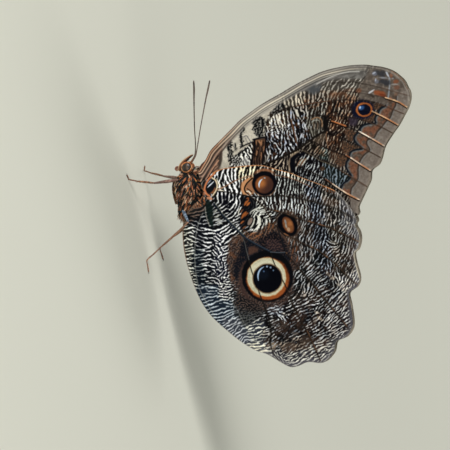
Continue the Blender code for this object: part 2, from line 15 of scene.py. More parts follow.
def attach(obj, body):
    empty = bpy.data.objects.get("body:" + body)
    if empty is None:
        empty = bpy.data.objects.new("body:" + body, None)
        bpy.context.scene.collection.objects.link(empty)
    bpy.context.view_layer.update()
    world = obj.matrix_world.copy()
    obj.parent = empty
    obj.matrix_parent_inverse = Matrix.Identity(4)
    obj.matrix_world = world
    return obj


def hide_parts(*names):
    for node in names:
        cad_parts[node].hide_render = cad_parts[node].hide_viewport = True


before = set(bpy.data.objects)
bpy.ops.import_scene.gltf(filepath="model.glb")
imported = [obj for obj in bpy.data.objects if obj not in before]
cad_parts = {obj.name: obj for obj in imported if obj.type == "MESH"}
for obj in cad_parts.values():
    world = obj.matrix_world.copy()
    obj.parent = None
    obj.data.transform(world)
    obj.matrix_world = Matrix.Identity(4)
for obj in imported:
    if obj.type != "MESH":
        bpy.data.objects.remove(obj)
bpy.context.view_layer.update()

# Driving dimensions, in millimetres
MM = 0.001
ROOT_HEIGHT = 22.5
LENGTH_CENTRE = 15.75
CHART_UNIT = 0.34         # width of one of the photograph's pixels on the wing
CHART_ROOT = (205.0, 186.0)
CHART_TURN = math.radians(12.0)   # how far the insect's length is turned in the photograph
CAMERA_RISE = math.radians(10.0)  # how far the camera looks down on the wings
PICTURE_MIDDLE = (14.38, 3.894)   # back along the body and up the picture plane
PICTURE_WIDTH = 153.0
CAMERA_DISTANCE = 1500.0

# Wings
MEMBRANE = 0.56           # thickness that the CAD gives a wing
VEIN_RISE = 0.16
GAP = 0.3
HALF_SPREAD = 0.95
SPLAY = 0.018
WING_GRAIN = 0.20         # distance between two points of a wing's outer face
BACK_GRAIN = 1.1
OUTER_FACE = 0.25         # outer face from the middle of the CAD's membrane
BACK_FACE = -0.02
PLEAT = 0.16              # how far the membrane sinks between two veins
RIDGE = 0.15              # height of a vein over the membrane beside it
RIDGE_HALF_WIDTH = 0.32

THORAX_SECTIONS = [
    (-5.3, -4.9, 2.0, 2.2), (-4.6, -5.0, 3.3, 3.9), (-3.2, -5.0, 4.1, 4.8),
    (-1.0, -5.0, 4.6, 5.3), (1.5, -5.1, 4.7, 5.3), (4.0, -5.5, 4.4, 4.9),
    (6.5, -6.1, 3.8, 4.2), (8.4, -6.6, 3.0, 3.3)]
ABDOMEN_SECTIONS = [
    (8.7, -6.7, 2.7, 2.9), (11.2, -6.9, 3.0, 3.2), (14.0, -7.0, 3.1, 3.2),
    (17.2, -7.1, 3.1, 3.2), (20.4, -7.2, 2.9, 3.0), (23.6, -7.3, 2.6, 2.7),
    (26.6, -7.4, 2.2, 2.3), (29.4, -7.5, 1.7, 1.8), (31.6, -7.5, 1.1, 1.2),
    (33.0, -7.5, 0.5, 0.6)]

# Markings, on the chart
BAR_SCALE = 0.88          # makes all bars finer or coarser
BAR_SOFT = 0.34           # how softly a bar ends, as a share of its wave
EYESPOT = (267.3, 277.8)


# Charts written as text
def points(text):
    """The points of a text: numbers joined by commas, with a blank between two points."""
    return [tuple(float(v) for v in item.split(",")) for item in text.split()]


def rows(text):
    """The words of each row. A line that starts with a blank goes on with the row above it."""
    return [line.split() for line in text.strip().replace("\n ", " ").splitlines() if line[0] != "#"]


def lines(text):
    """Named lines, each a row of a name and points."""
    return {name: points(" ".join(rest)) for name, *rest in rows(text)}


def rgb(text):
    return np.array([int(text[i:i + 2], 16) / 255.0 for i in (0, 2, 4)])


def smooth_step(low, high, value):
    t = np.clip((value - low) / (high - low), 0.0, 1.0)
    return t * t * (3.0 - 2.0 * t)


def lattice(i, j, seed):
    """A fixed random number from 0 to 1 for each point of a lattice."""
    h = (i.astype(np.int64) * 374761393 + j.astype(np.int64) * 668265263 + seed * 974711) & 0xFFFFFFFF
    h = ((h ^ (h >> 13)) * 1274126177) & 0xFFFFFFFF
    return ((h ^ (h >> 16)) & 0xFFFF) / 65535.0


def noise(p, q, size, seed):
    """Smooth noise from -1 to 1 with lumps of the given size, turned by its seed."""
    c, n = np.cos(0.7 + seed), np.sin(0.7 + seed)
    a, b = (p * c - q * n) / size, (p * n + q * c) / size
    i, j = np.floor(a), np.floor(b)
    u, v = a - i, b - j
    u = u * u * (3.0 - 2.0 * u)
    v = v * v * (3.0 - 2.0 * v)
    low = lattice(i, j, seed) * (1 - u) + lattice(i + 1, j, seed) * u
    high = lattice(i, j + 1, seed) * (1 - u) + lattice(i + 1, j + 1, seed) * u
    return 2.0 * (low * (1 - v) + high * v) - 1.0


def rough(p, q, size, seed):
    return 0.6 * noise(p, q, size, seed) + 0.4 * noise(p, q, 0.45 * size, seed + 7)


def bend(four, steps):
    """Points from the second to the third of four, on the smooth curve through them all."""
    a, b, c, d = (np.array(v, float) for v in four)
    return [0.5 * (2 * b + t * (c - a) + t * t * (2 * a - 5 * b + 4 * c - d)
                   + t ** 3 * (3 * b - a - 3 * c + d)) for t in np.arange(steps) / steps]


def curve(route, steps=4):
    """A smooth line through the points of a route."""
    pts = [np.array(v, float) for v in route]
    pts = [2 * pts[0] - pts[1]] + pts + [2 * pts[-1] - pts[-2]]
    made = [v for i in range(len(pts) - 3) for v in bend(pts[i:i + 4], steps)]
    return made + [pts[-2]]


def along_line(p, q, line):
    """Distance to a line, and how far along it the nearest point is."""
    best = np.full(p.shape, 1e9)
    far = np.zeros(p.shape)
    done = 0.0
    for a, b in zip(line, line[1:]):
        dx, dy = b[0] - a[0], b[1] - a[1]
        long2 = max(dx * dx + dy * dy, 1e-9)
        t = np.clip(((p - a[0]) * dx + (q - a[1]) * dy) / long2, 0.0, 1.0)
        d = np.hypot(p - a[0] - t * dx, q - a[1] - t * dy)
        near = d < best
        best = np.where(near, d, best)
        far = np.where(near, done + t * long2 ** 0.5, far)
        done += long2 ** 0.5
    return best, far / done


def within(x, y, outline):
    """Which of many places lie inside an outline."""
    hit = np.zeros(x.shape, bool)
    for a, b in zip(outline, list(outline[1:]) + [outline[0]]):
        if a[1] != b[1]:
            crosses = (a[1] > y) != (b[1] > y)
            hit ^= crosses & (x < (b[0] - a[0]) * (y - a[1]) / (b[1] - a[1]) + a[0])
    return hit


def in_area(p, q, corners, soft=1.0):
    """How much of a place lies in an area, from 0 to 1, with a soft rim."""
    d = along_line(p, q, list(corners) + [corners[0]])[0]
    return smooth_step(-soft, soft, np.where(within(p, q, corners), d, -d))


def weave(p, q, guides, seed, long=2.0, wide=1.15, sway=7.0):
    """Bars that follow the guides (x, y, lean, period), as a wave from -1 in a bar to 1 between.

    Each of many small patches of bars takes its lean and period from the guides near it. A lean
    is in degrees from upright, and leans to the right when positive.
    """
    rng = np.random.default_rng(seed)
    # Distance between the places where the wave is worked out, and between the patches
    step, gap = 0.4, 2.1
    x0, y0 = p.min() - 4.0, q.min() - 4.0
    nx, ny = int((p.max() + 4.0 - x0) / step) + 2, int((q.max() + 4.0 - y0) / step) + 2
    field = np.zeros((ny, nx), complex)
    table = np.array([tuple(g) + (0.0,) * (5 - len(g)) for g in guides], float)
    cx, cy = np.meshgrid(np.arange(x0, x0 + nx * step, gap), np.arange(y0, y0 + ny * step, gap))
    cx = (cx + rng.uniform(-0.9, 0.9, cx.shape)).ravel()
    cy = (cy + rng.uniform(-0.9, 0.9, cy.shape)).ravel()
    weight = 1.0 / ((cx[:, None] - table[:, 0]) ** 2 + (cy[:, None] - table[:, 1]) ** 2 + 3.0) ** 2
    lean = 0.5 * np.angle(weight @ np.exp(2j * np.radians(table[:, 2])))
    period, loose = (weight @ table[:, 3:5]).T / weight.sum(1)
    lean = lean + np.radians(rng.normal(0.0, 1.0, lean.shape) * (sway + loose))
    period = BAR_SCALE * period * rng.uniform(0.94, 1.06, period.shape)
    start = rng.uniform(0.0, 2.0 * np.pi, lean.shape)
    for x, y, turned, size, first in zip(cx, cy, lean, period, start):
        reach = 0.95 * long * size
        i0, i1 = (int(np.clip((x + s * reach - x0) / step + 1, 0, nx)) for s in (-1, 1))
        j0, j1 = (int(np.clip((y + s * reach - y0) / step + 1, 0, ny)) for s in (-1, 1))
        dx = x0 + np.arange(i0, i1) * step - x
        dy = y0 + np.arange(j0, j1)[:, None] * step - y
        across = dx * np.cos(turned) + dy * np.sin(turned)
        along = dx * np.sin(turned) - dy * np.cos(turned)
        share = np.exp(-np.pi * ((across / (wide * size)) ** 2 + (along / (long * size)) ** 2))
        field[j0:j1, i0:i1] += share * np.exp(1j * (2.0 * np.pi / size * across + first))
    u, v = (p - x0) / step, (q - y0) / step
    i, j = u.astype(int), v.astype(int)
    u, v = u - i, v - j
    wave = ((field[j, i] * (1 - u) + field[j, i + 1] * u) * (1 - v)
            + (field[j + 1, i] * (1 - u) + field[j + 1, i + 1] * u) * v)
    return wave.real / (np.abs(wave) + 0.25)


class Paint:
    """Colours of many places, painted over one layer after another.

    draw() takes a text of rows. A row is a command and, in any order, its colours (#), its numbers,
    points (x,y), parts of named lines (@name:from:to:right:down) and words. The points after each |
    run the command once more. A word names a field, or a sum such as wave+.5*grit, which multiplies
    the layer's share; with :low:high behind it, it rises from 0 at low to 1 at high.
    noise(size,seed) and rough(size,seed) are fields too, and after x+ or y+ a field pushes the places.
    """

    def __init__(self, p, q):
        self.p, self.q = p, q
        self.colour, self.dark, self.light = (np.zeros(p.shape + (3,)) for _ in range(3))
        self.level = np.zeros(p.shape)
        self.fields = {"x": p, "y": q}
        self.lines, self.tints = {}, {}

    def cover(self, tint, share):
        """Lays a colour, hex text or an array, over what is there."""
        if isinstance(tint, str):
            tint = self.tints[tint] if tint in self.tints else rgb(tint)
        share = np.clip(share, 0.0, 1.0)[..., None]
        self.colour = self.colour * (1.0 - share) + tint * share

    def draw(self, text):
        for command, *items in rows(text):
            tints, numbers, words, places = [], [], [], [[]]
            for item in items:
                if item[0] == "#":
                    tints.append(item[1:])
                elif item[0] == "@":
                    places[-1] += self.part(*item[1:].split(":"))
                elif item == "|":
                    places.append([])
                elif item[0].isalpha() or item[0] == "+":
                    words.append(item)
                elif "," in item:
                    places[-1] += points(item)
                else:
                    numbers.append(float(item))
            for route in places:
                getattr(self, command)(tints, route, words, *numbers)

    def part(self, name, first="", last="", right=0.0, down=0.0):
        """The points of a named line, or some of them, moved right and down."""
        chosen = self.lines[name][int(first or 0):int(last) if last else None]
        return [(x + float(right), y + float(down)) for x, y in chosen]

    def field(self, word):
        """The sum of fields that a word names, from 0 to 1 if it has two limits."""
        name, *limits = word.split(":")
        total = 0.0
        for term in name.split("+"):
            factor, _, term = term.rpartition("*")
            kind, *values = term.strip(")").replace("(", ",").split(",")
            if values:
                size, seed = float(values[0]), int(values[1])
                made = {"noise": noise, "rough": rough}[kind](self.p, self.q, size, seed)
            else:
                made = self.fields[kind]
            total = total + float(factor or 1.0) * made
        return smooth_step(float(limits[0]), float(limits[1]), total) if limits else total

    def share(self, words, share=1.0):
        """A share times the fields that the words name."""
        for word in words:
            if word[:2] not in ("x+", "y+") and word != "taper":
                share = share * self.field(word)
        return share

    def inside(self, corners, words, soft, rough_by=0.0, seed=1):
        """How much of each place lies within the corners."""
        p, q = self.p, self.q
        if rough_by:
            p = p + rough_by * rough(self.p, self.q, 5.0, int(seed))
            q = q + rough_by * rough(self.p, self.q, 5.0, int(seed) + 31)
        p = p + sum(self.field(w[2:]) for w in words if w[:2] == "x+")
        q = q + sum(self.field(w[2:]) for w in words if w[:2] == "y+")
        return in_area(p, q, corners, soft)

    def lay(self, tints, _, words, share=1.0):
        self.cover(tints[0], self.share(words, share))

    def area(self, tints, corners, words, soft=1.0, share=1.0, rough_by=0.0, seed=1):
        self.cover(tints[0], self.share(words, share) * self.inside(corners, words, soft, rough_by, seed))

    def mask(self, _, corners, words, soft=1.0, rough_by=0.0, seed=1):
        """Names a field: the product of the fields and the area behind its name, from 0 to 1."""
        made = self.share(words[1:])
        if corners:
            made = made * self.inside(corners, words, soft, rough_by, seed)
        self.fields[words[0]] = np.clip(made, 0.0, 1.0)

    def away(self, at, wide, high, turn=0.0):
        """Distance from a spot's middle as a share of its radii, 1 on its rim."""
        dx, dy = self.p - at[0], self.q - at[1]
        c, s = np.cos(np.radians(turn)), np.sin(np.radians(turn))
        return np.hypot((dx * c + dy * s) / wide, (dy * c - dx * s) / high)

    def spot(self, _, at, words, wide=1.0, high=1.0, turn=0.0):
        """Names the distance from a spot's middle, with the fields behind + added."""
        self.fields[words[0]] = self.away(at[0], wide, high, turn) + sum(self.field(w[1:]) for w in words[1:])

    def disc(self, tints, at, words, wide, high, soft=0.12, turn=0.0, share=1.0, rough_by=0.0, seed=7):
        far = self.away(at[0], wide, high, turn) + rough_by * noise(self.p, self.q, 2.4, int(seed))
        self.cover(tints[0], self.share(words, share) * smooth_step(1.0 + soft, 1.0 - soft, far))

    def stroke(self, tints, route, words, width, soft=0.6, share=1.0):
        """A line through the points, thinner towards its ends with the word taper."""
        d, far = along_line(self.p, self.q, curve(route))
        self.fields["far"] = far
        half = 0.5 * width
        if "taper" in words:
            half = half * np.sin(np.pi * np.clip(far, 0.03, 0.97)) ** 0.5
        edge = smooth_step(half - 0.5 * soft, half + 0.5 * soft, d)
        self.cover(tints[0], self.share(words, share) * (1.0 - edge))

    def zone(self, tints, corners, words, level):
        """Sets the colours of the bars and of what is between them, and how wide the bars are."""
        inside = self.inside(corners, words, 2.0, 1.5, 17) if corners else np.ones(self.p.shape)
        keep = (1.0 - inside)[..., None]
        self.dark = self.dark * keep + rgb(tints[0]) * inside[..., None]
        self.light = self.light * keep + rgb(tints[1]) * inside[..., None]
        self.level = self.level * (1.0 - inside) + level * inside

    def bars(self, level, gain):
        """Paints the bars with the colours of the zones, by so much wider and brighter between."""
        fields = self.fields
        uneven = 1.0 + 0.10 * fields["blots"] + 0.10 * fields["grain"]
        light = np.minimum(self.light * gain, 1.0) * uneven[..., None]
        level = self.level + level
        share = smooth_step(level - BAR_SOFT, level + BAR_SOFT, fields["wave"])[..., None]
        self.colour = self.dark * (1.0 - share) + light * share


def vein_field(p, q, veins):
    """Distance to the nearest vein."""
    return np.minimum.reduce([along_line(p, q, curve(route, 3))[0] for route in veins.values()])


def blended(low, high, share):
    """From one colour to another."""
    return rgb(low) * (1 - share[..., None]) + rgb(high) * share[..., None]


def wing_paint(p, q, named, guides, grit_guide, shake, seeds):
    """A wing's paint with its bars (wave), an even grit and the noises that its rows name."""
    near, nearer, bars, even, fine, grain, blots = seeds
    shaken = [v + shake * noise(p, q, 2.6, near + i) + 0.3 * noise(p, q, 1.5, nearer + i)
              for i, v in enumerate((p, q))]
    paint = Paint(p, q)
    paint.lines = named
    wave = weave(*shaken, guides, bars)
    between = smooth_step(0.0, 0.5, wave)
    paint.fields.update(
        wave=wave, between=between, grit=weave(p, q, [grit_guide], even, 1.1, 1.1),
        fine=noise(p, q, 1.5, fine), grain=noise(p, q, 1.0, grain), blots=noise(p, q, 3.2, blots),
        under=1.0 - 0.8 * between, veiled=1.0 - 0.3 * between,
        fleck=0.45 + 0.5 * between, flush=1.15 - 0.85 * between)
    return paint


# Outlines and veins on the chart
HINDWING_EDGE = points("""
213,173 222,169 235,167 250,165.5 262,165.5 275,169 290,173 305,179 320,184.5 335,191 343,199 350,208
355,217 356,221 354.5,225 358,232 359,240 357,249 353.5,253 355,263 358.5,277 356,286 348,293 350,305
352,325 346,336 336,341 333,352 323,362 308,361.5 298,365.5 290,366.5 279,361 268,354.5 255,350 240,341
225,329 211,316 200,300 192,280 186,260 183,240 183.5,225 187,214 196,204 204,196 204,187 206,181
""")
COSTA = points("""
199,170 205,160 210,150.5 220,140 230,130 240,120 250,112.5 260,105.5 270,99.5 280,94 290,88 300,82.5
310,77.5 320,73 330,70 340,68 350,66.5 362,66 370,67 380,68.5 390,72 397,77 402,82 405,88 407.5,93 408,100
""")
FOREWING_EDGE = COSTA + points("""
406,108 402,116 396,127 391,134 383,147 380,158 377,165 370,171 369,180 366,187 360,200 357,207 355.5,216
330,224 300,216 270,208 240,202 215,198 206,194
""")
HW_VEINS = lines("""
sc 217,190 225,186.5 237,180 252,175.5 274,175.3 285,177 295,180 303,183.5 312,188 322,192 338,199
rs 218,191.5 226,192 235,193.5 250,196.5 265,196.5 283,195.8 297,198 310,201 325,205 338,210 354,219
m1 250,197 256,200 263,206 271,210 283,213 297,218.5 308,221.5 320,225 330,228 342,234 358,242
m2 263,206 268,214 272,221 277,227 284,234 293,238.5 302,243 317,250 328,258 334,263 341,270 350,279 356,284
dc 277,227 281,238 286,252.8
m3 286,252.8 300,270 309,280 315,287 322,296 330,306 340,318 350,331
cu 208,198 214,204 220,211.5 222.4,215 242.4,235 252,242 270.5,251.7 285,252.2
cu1 270.5,251.7 274,262.8 285,285 288,292 292,303 296,311 301,321 308,333 314,346 320,360
cu2 241.5,235 245,243 247,253 250,265 252,272 255,280 260.5,296 265,307 269,320 271,330 270,341 273,352
 279,360
1a 207,205 210,218 213,231 216,244 218,256 221,270 226,287 235,306 246,326 262,351
3a 203,213 198.5,224 195.5,240 195,262 198,284 205,300 214,315
""")
FW_VEINS = lines("""
v1 330,84 350,83 365,85.5 380,89 395,93.5 407,97
v2 340,92 355,93.5 371,96 384,99 396,103 405,108.5
v3 268,116 282,110 295,107 312,104 330,101.5 350,101 365,101.5 375,104 388,109 402,115
v4 325,112 345,111 371,112.5 384,119 397,126.5
v5 308,117 325,116 340,117 352,118.5 362,121 380,128 391,134
v6 326,120 331,122 338,124.5 345,127 352,129.5 358,132.5 368,138 383,147
v7 326,131 333,135 340,139 348,142 357,146.5 370,153 379,158
v8 311,141 316,144 323,147 330,150.5 338,153.5 345,156 350,158.7 358,164 369,171
v9 301,149 306,151 312,155 320,160 326,162 334,166 340,171 350,177 366,187
v10 298,166 309,171 318,175.5 325,179.5 332,184.5 343,192 350,196 358,200
cell 240,174 262,166 275,160.5 290,153.5 299,149 306,143.5 311,140 318,135 326,131
end 326,117 325,124 326,132 326.6,140 328,149
""")
SCALLOPS = lines("""
inner 384,107 380.6,108.6 378,111 376.6,114.6 374.2,117.6 373.6,121 374,124 368,124.4 362.4,126 359.4,129
 358.6,132 355.4,134.6 353.2,138 354,142 357,145.6 361,149.2 354.4,150.4 350,152.4 348.4,156 347.4,160
 345.4,163 345.4,168 347.4,172 350,176 347,180.6 342.6,183.6 340.4,188
outer 394.6,98 394,106 391,112 388.6,118.6 384,123 380,128.4 376,132.6 372.6,138.6 366.6,140.6 365.6,144.6
 368.6,150.6 364,154.6 360.4,159 358,164.6 357,170 357,178.6 353.6,184.6 350.4,189 349.6,196
""")

# Lean and period of the bars here and there: x, y, lean, period and how loose
HW_BARS = points("""
216,175,20,4.5 222,172,10,4.8 232,171,10,4.8 242,171,8,4.8 252,168,20,4.5 275,168,10,4 285,172,10,4
220,181,-5,4.5 226,181,-30,4.5 232,187,-35,4.5 237,185,-5,4 219,196,0,4.8 228,196,5,4.6 237,197,8,4.2
219,205,62,3.8 226,205,60,3.6 234,203,35,3.8 238,203,20,3.8 225,212,58,3.6 231,211,55,3.6 236,212,50,3.4
232,220,55,3.4 237,222,50,3.4 236,227,50,3.2 254,201,-40,3.2 258,203,20,3.4 258,209,62,3.4 263,209,65,3.4
267,213,68,3.4 253,214,45,3.4 258,219,20,4.5 262,221,10,4.5 256,227,30,4.5 251,231,60,3.6 266,219,70,3.2
268,224,0,4 272,218,60,3 264,199,-20,3.2 268,203,-10,3.6 275,203,3,3.7 285,203,3,3.7 292,205,5,3.8
298,207,12,3.8 305,207,-5,3.2 315,207,8,3.6 320,205,20,4 330,205,15,3.5 340,207,0,3.6 278,175,10,3.8
280,186,8,3.6 290,188,5,3.4 300,185,15,3.2 300,193,-8,3 310,190,25,3 320,193,10,3.6 330,197,20,3.2
338,200,15,3.2 345,206,0,3.4 350,212,-10,3.4 345,215,0,3.2 352,225,15,3 350,235,20,3 345,230,30,3
355,240,10,3 350,247,5,3 345,250,12,3.2 300,215,0,3.4 307,215,0,3.2 315,215,8,3.2 322,215,15,3.6
330,215,15,3.2 338,213,0,3.4 298,222,10,3.2 305,226,25,3.2 312,227,30,3.4 320,225,15,3.2 330,226,15,3
340,226,40,3 300,232,25,3.2 307,233,30,3.2 315,237,30,3 322,238,20,3.2 330,242,-60,3.4 334,250,50,3.4
340,254,45,3.4 333,235,15,3 340,240,30,3 347,245,10,3 290,240,10,2.8 295,248,10,3 298,255,-5,3
290,252,15,3.6 305,250,0,3.2 303,257,20,3 310,255,10,3 316,250,15,3.4 322,253,20,3.6 300,262,45,3
308,264,45,3.4 315,260,30,3.6 322,262,25,3.4 326,266,5,3.2 330,264,0,3.2 336,262,45,3 343,262,30,3
350,260,20,3.2 352,268,35,2.8 345,270,30,2.8 338,270,5,3 310,268,50,3.4 317,270,48,3.4 322,273,45,3.2
310,275,50,3.4 318,278,52,3.4 325,280,60,3.4 330,277,20,3.2 335,278,-30,3.6 343,280,30,2.7 350,278,20,2.7
345,288,40,2.8 350,288,50,2.8 295,276,30,3.2 300,278,35,3.2 297,286,40,3.2 303,287,10,3.2 308,286,20,3.4
313,288,20,3.2 320,290,60,3.6 328,292,50,3.6 336,298,48,3.2 343,300,45,3.2 346,310,45,3.2 337,308,45,3.2
330,303,48,3.3 290,290,60,3.4 288,300,62,3.4 295,298,60,3.8 303,300,68,3.8 312,301,75,3.4 320,305,45,3
325,315,30,3.4 330,320,40,3.2 337,320,45,3.2 344,318,45,3.2 338,330,55,3 343,327,55,3 333,335,60,3
280,305,60,3.4 272,305,80,3.2 287,312,65,3.4 281,315,-40,3.6 285,320,-30,3.6 293,310,60,3.4 300,311,65,3.6
307,316,60,3.4 296,320,55,3.4 303,325,60,3.2 275,322,65,2.9 285,328,50,3 295,331,60,3 270,330,60,3
280,336,50,3 265,335,80,3.4 270,340,40,3 290,343,55,3.4 300,342,60,3.4 315,330,60,3.4 320,342,70,3.4
328,345,65,3.2 310,350,45,3.4 300,352,50,3 290,352,60,3 280,350,60,3.2 320,353,60,3.2 328,355,50,3.2
305,359,55,3 290,360,75,2.8 278,357,-30,3 250,320,70,3.2 256,326,60,3.6 250,330,70,3.4 245,336,85,3.6
258,337,80,3.6 255,345,80,3.6 262,343,65,3.4 250,348,85,3.6 265,350,80,3.6 240,300,60,2.8,30
250,303,60,2.8,30 246,312,70,2.8,30 187,232,75,4 193,232,-65,4 187,245,70,4 193,243,-55,4 188,258,88,3.6
192,262,-85,3.6 190,275,85,3.4 195,285,-80,3.4 200,232,-80,4.2 207,232,-85,4.2 200,242,-70,4.2
208,243,-75,4.2 203,252,85,4 210,249,60,4 214,252,-45,3.6 203,262,80,4.2 210,260,75,4 214,264,-60,3.8
203,272,80,4 210,272,88,4 216,270,-45,3.6 204,282,90,4 212,282,-75,3.8 204,292,85,3.8 213,293,75,3.8
208,303,70,4 216,301,60,4 222,304,-80,4 215,310,75,4.2 224,311,65,4 222,318,80,4 230,318,60,3.6
222,325,70,3.6 230,327,65,3.4 236,328,50,3.4 233,337,40,3 240,340,40,3 218,237,-50,3.2 222,243,50,4
225,250,55,3.2,15 219,250,-35,3.2,15 223,257,40,3,20 219,262,-40,3,20 225,265,35,3,20 219,272,50,3,20
224,275,50,3.2,20 219,283,-60,3.2,20 225,285,65,3,20 221,292,-70,3,20 228,293,70,3,20 224,228,45,4.4
228,233,50,4.6 233,236,50,4.2 226,240,50,4 231,243,60,4.2 215,213,60,4 219,220,80,4.2 217,226,80,4.2
222,225,60,4.4
""")
FW_BARS = points("""
268,118,-10,4.2 274,120,-18,4.4 280,121,-20,4.2 266,126,-5,3.6 272,131,0,3.4 280,130,-5,3.4 286,124,-10,3.4
270,138,-15,3.6 276,140,-30,3.6 283,136,-10,4 272,147,-25,3.8 279,148,-35,3.8 268,155,-5,3.8 275,155,15,3.8
284,146,10,4 282,154,20,3.4 290,140,-25,3.6 291,128,-15,3.8 296,145,-15,3.6 288,148,-30,3.4 297,137,-25,3.6
302,128,-20,4 306,134,-20,4 300,142,20,3.6 297,118,-25,4 291,114,0,4 296,111,-30,4.6 302,112,-20,4.4
308,110,12,4 314,110,15,3.8 320,109,10,4 304,121,30,3.4 238,160,20,3.4,20 246,158,-25,3.6,15
249,151,-30,3.6,15 235,164,0,3,25 270,166,35,3.6 276,163,30,3.4 282,162,20,3.4 287,165,0,3.4 284,170,-5,3.4
291,175,0,3.6 298,164,35,3.4 303,160,38,3.2 308,163,35,3.2 313,160,35,3.2 299,172,25,3.2 306,172,22,3.2
312,169,30,3.2 317,165,10,3.6 310,177,15,3 318,178,20,3 322,170,10,3.8 315,151,38,3 309,148,38,3.2
320,152,30,2.6 324,157,25,2.6 330,156,15,2.6 334,158,20,2.6 326,168,5,3.6 332,172,5,3.6 338,175,5,3.8
342,180,30,3.2 332,180,5,3.4 325,176,10,3.2 326,139,10,3.4 332,140,30,3 337,143,22,2.8 341,146,20,2.8
332,126,32,3.2 337,130,32,3.2 341,127,30,3 345,122,20,2.8 330,119,25,3.4 338,119,15,3 346,117,10,3
328,108,5,4 334,109,10,3.8 340,108,12,3.4 346,107,12,3.4 350,112,20,3.2 336,113,15,3.6 283,100,-10,4.6
288,101,-10,4.6 294,100,-20,4.6 300,99,0,4 306,98,0,3.8 312,97,5,3.8 318,97,5,3.8 324,96,5,3.8 322,88,35,4
328,87,38,4.2 334,87,40,4.2 340,87,38,4.2 346,88,35,4 352,88,35,4 358,84,35,4 330,95,25,3.8 338,95,30,3.8
346,95,28,3.6 353,96,20,3.6 362,82,35,4 368,80,20,4 257,122,35,3.2,25 261,130,20,3,30 256,134,0,3,20
257,150,8,3.4 262,150,0,3.4 260,160,5,3.4 275,110,50,3,30 212,160,35,3.2 218,158,20,3
""")

# Colours of the bars and between them, and how wide the bars are, zone by zone
HW_ZONES = """
zone #0b0b0c #a6a8aa .17
zone #16100e #c4caca .19 258,196 282,196 298,199 306,204 305,216 296,217 283,212 270,209
zone #0e0b0b #b4b8b6 .17 272,172 288,176 304,186 302,198 284,196 274,196
zone #05070b #a6aebb .24 304,186 318,186 323,205 324,225 330,240 332,262 333,274 329,280 324,276 318,268
 313,246 310,225 308,205
zone #14110f #aeaca8 .2 318,186 340,196 352,214 358,240 356,262 358,284 346,292 338,282 332,262 331,240
 324,222 324,205
zone #2a292c #908e8e 0 340,197 352,212 360,236 358,262 350,262 346,240 340,222
zone #2c2a30 #cfcbc2 0 336,276 346,274 358,268 360,284 350,296 340,290
zone #070607 #dcdcdc .34 270,298 296,290 312,298 330,306 322,326 310,342 286,340 264,330
zone #020508 #a3a5aa .45 303,304 314,306 312,320 303,330 288,338 276,340 284,326 298,322
zone #181619 #b7b5b2 .05 330,294 350,296 354,326 340,340 328,334 322,322 330,308
zone #2c2b31 #b9b6ad 0 268,346 280,352 296,350 310,344 330,338 338,350 322,368 290,370 268,360
zone #0f0e10 #8f8376 .1 278,342 300,336 310,338 300,350 282,352
zone #2a2a30 #a4abb3 0 264,303 280,300 284,306 282,316 270,314
zone #2c3039 #b9b8ae .05 243,328 252,318 264,322 267,340 268,352 252,352 244,342
zone #55565a #cbc6b3 -.15 246,341 258,342 268,347 268,356 250,352
zone #05080e #d6dad4 .38 180,210 206,205 216,236 217,262 200,262 180,262
zone #0a1119 #c0c5c4 .33 180,250 216,250 217,275 222,300 180,300
zone #05080e #d6dad4 .2 203,226 216,228 219,262 219,292 206,292 203,262
zone #17202c #a8b0b6 .14 188,284 222,284 238,312 246,330 240,344 200,316
zone #343841 #a3a6aa .05 222,318 240,318 252,342 240,348 224,332
zone #1f2022 #d6d5ca 0 180,226 194,226 192,262 197,288 188,290 180,262
zone #080b19 #f2f1e4 .12 214,232 222,226 229,240 229,276 230,292 217,284 214,262
zone #14141f #dcdcd0 .05 216,276 229,276 231,300 220,300
zone #03060e #efede0 .08 219,226 232,222 238,232 233,248 222,246
zone #02030a #fbf8ea .24 216,190 240,192 242,204 240,230 236,232 222,214
zone #04060c #e4e2d6 .1 228,212 242,210 242,232 236,232
zone #060607 #f6f0de -.05 210,176 222,166 262,163 256,176 238,182 240,194 216,192
zone #0d0a0a #dccaae -.05 236,163 262,163 256,176 240,180 236,176
zone #050507 #dccfbf .02 264,163 290,170 310,179 304,184 286,177 272,173
zone #070709 #d9d5cc 0 252,198 260,200 270,209 272,222 264,232 252,234 250,214
mask inner 6 176,200 214,200 240,236 232,286 250,350 200,350
"""
FW_ZONES = """
zone #14100e #8a8178 .2
zone #0b090a #d3d6dc .3 264,112 302,112 310,124 311,138 300,148 268,164 264,140
zone #241c17 #e4dfd2 .02 262,112 284,108 288,122 284,130 264,130
zone #1b1612 #9d9b94 .22 302,104 326,102 326,130 312,139 306,130
zone #0c0a0a #b7b0a8 .12 294,106 306,103 308,116 300,122 292,118
zone #161415 #e6e4dc 0 231,157 245,148 255,142 254,168 230,168
zone #0b080a #c4b29d .15 262,166 292,153 302,149 298,160 296,180 262,180
zone #050407 #b4b8ba .22 300,154 312,156 324,163 322,182 296,182 294,170
zone #0f0b09 #93887a .3 302,148 312,141 322,146 320,158 310,153
zone #0e1c1b #b4c4c2 .2 316,147 327,149 328,161 320,159
zone #241a15 #7d7265 .15 327,150 338,154 340,164 328,162
zone #101615 #74808b .05 322,163 334,167 348,177 342,192 330,185 322,178
zone #0c0808 #cbb8a2 .36 326,117 352,118 348,128 342,140 346,156 327,150
zone #0f0b0a #aa9d8e .38 326,103 354,101 356,118 326,117
zone #3a352f #c2b7a6 .02 277,98 296,90 305,92 304,105 286,108 276,106
zone #201b16 #a1978c .18 304,92 330,92 332,102 304,105
zone #3f3a35 #b0aaa0 .45 312,88 330,80 366,74 374,84 356,92 312,94
zone #2a231e #a0978a .35 322,92 358,90 358,101 322,102
mask forward 4 300,80 362,66 372,84 356,100 304,102
"""

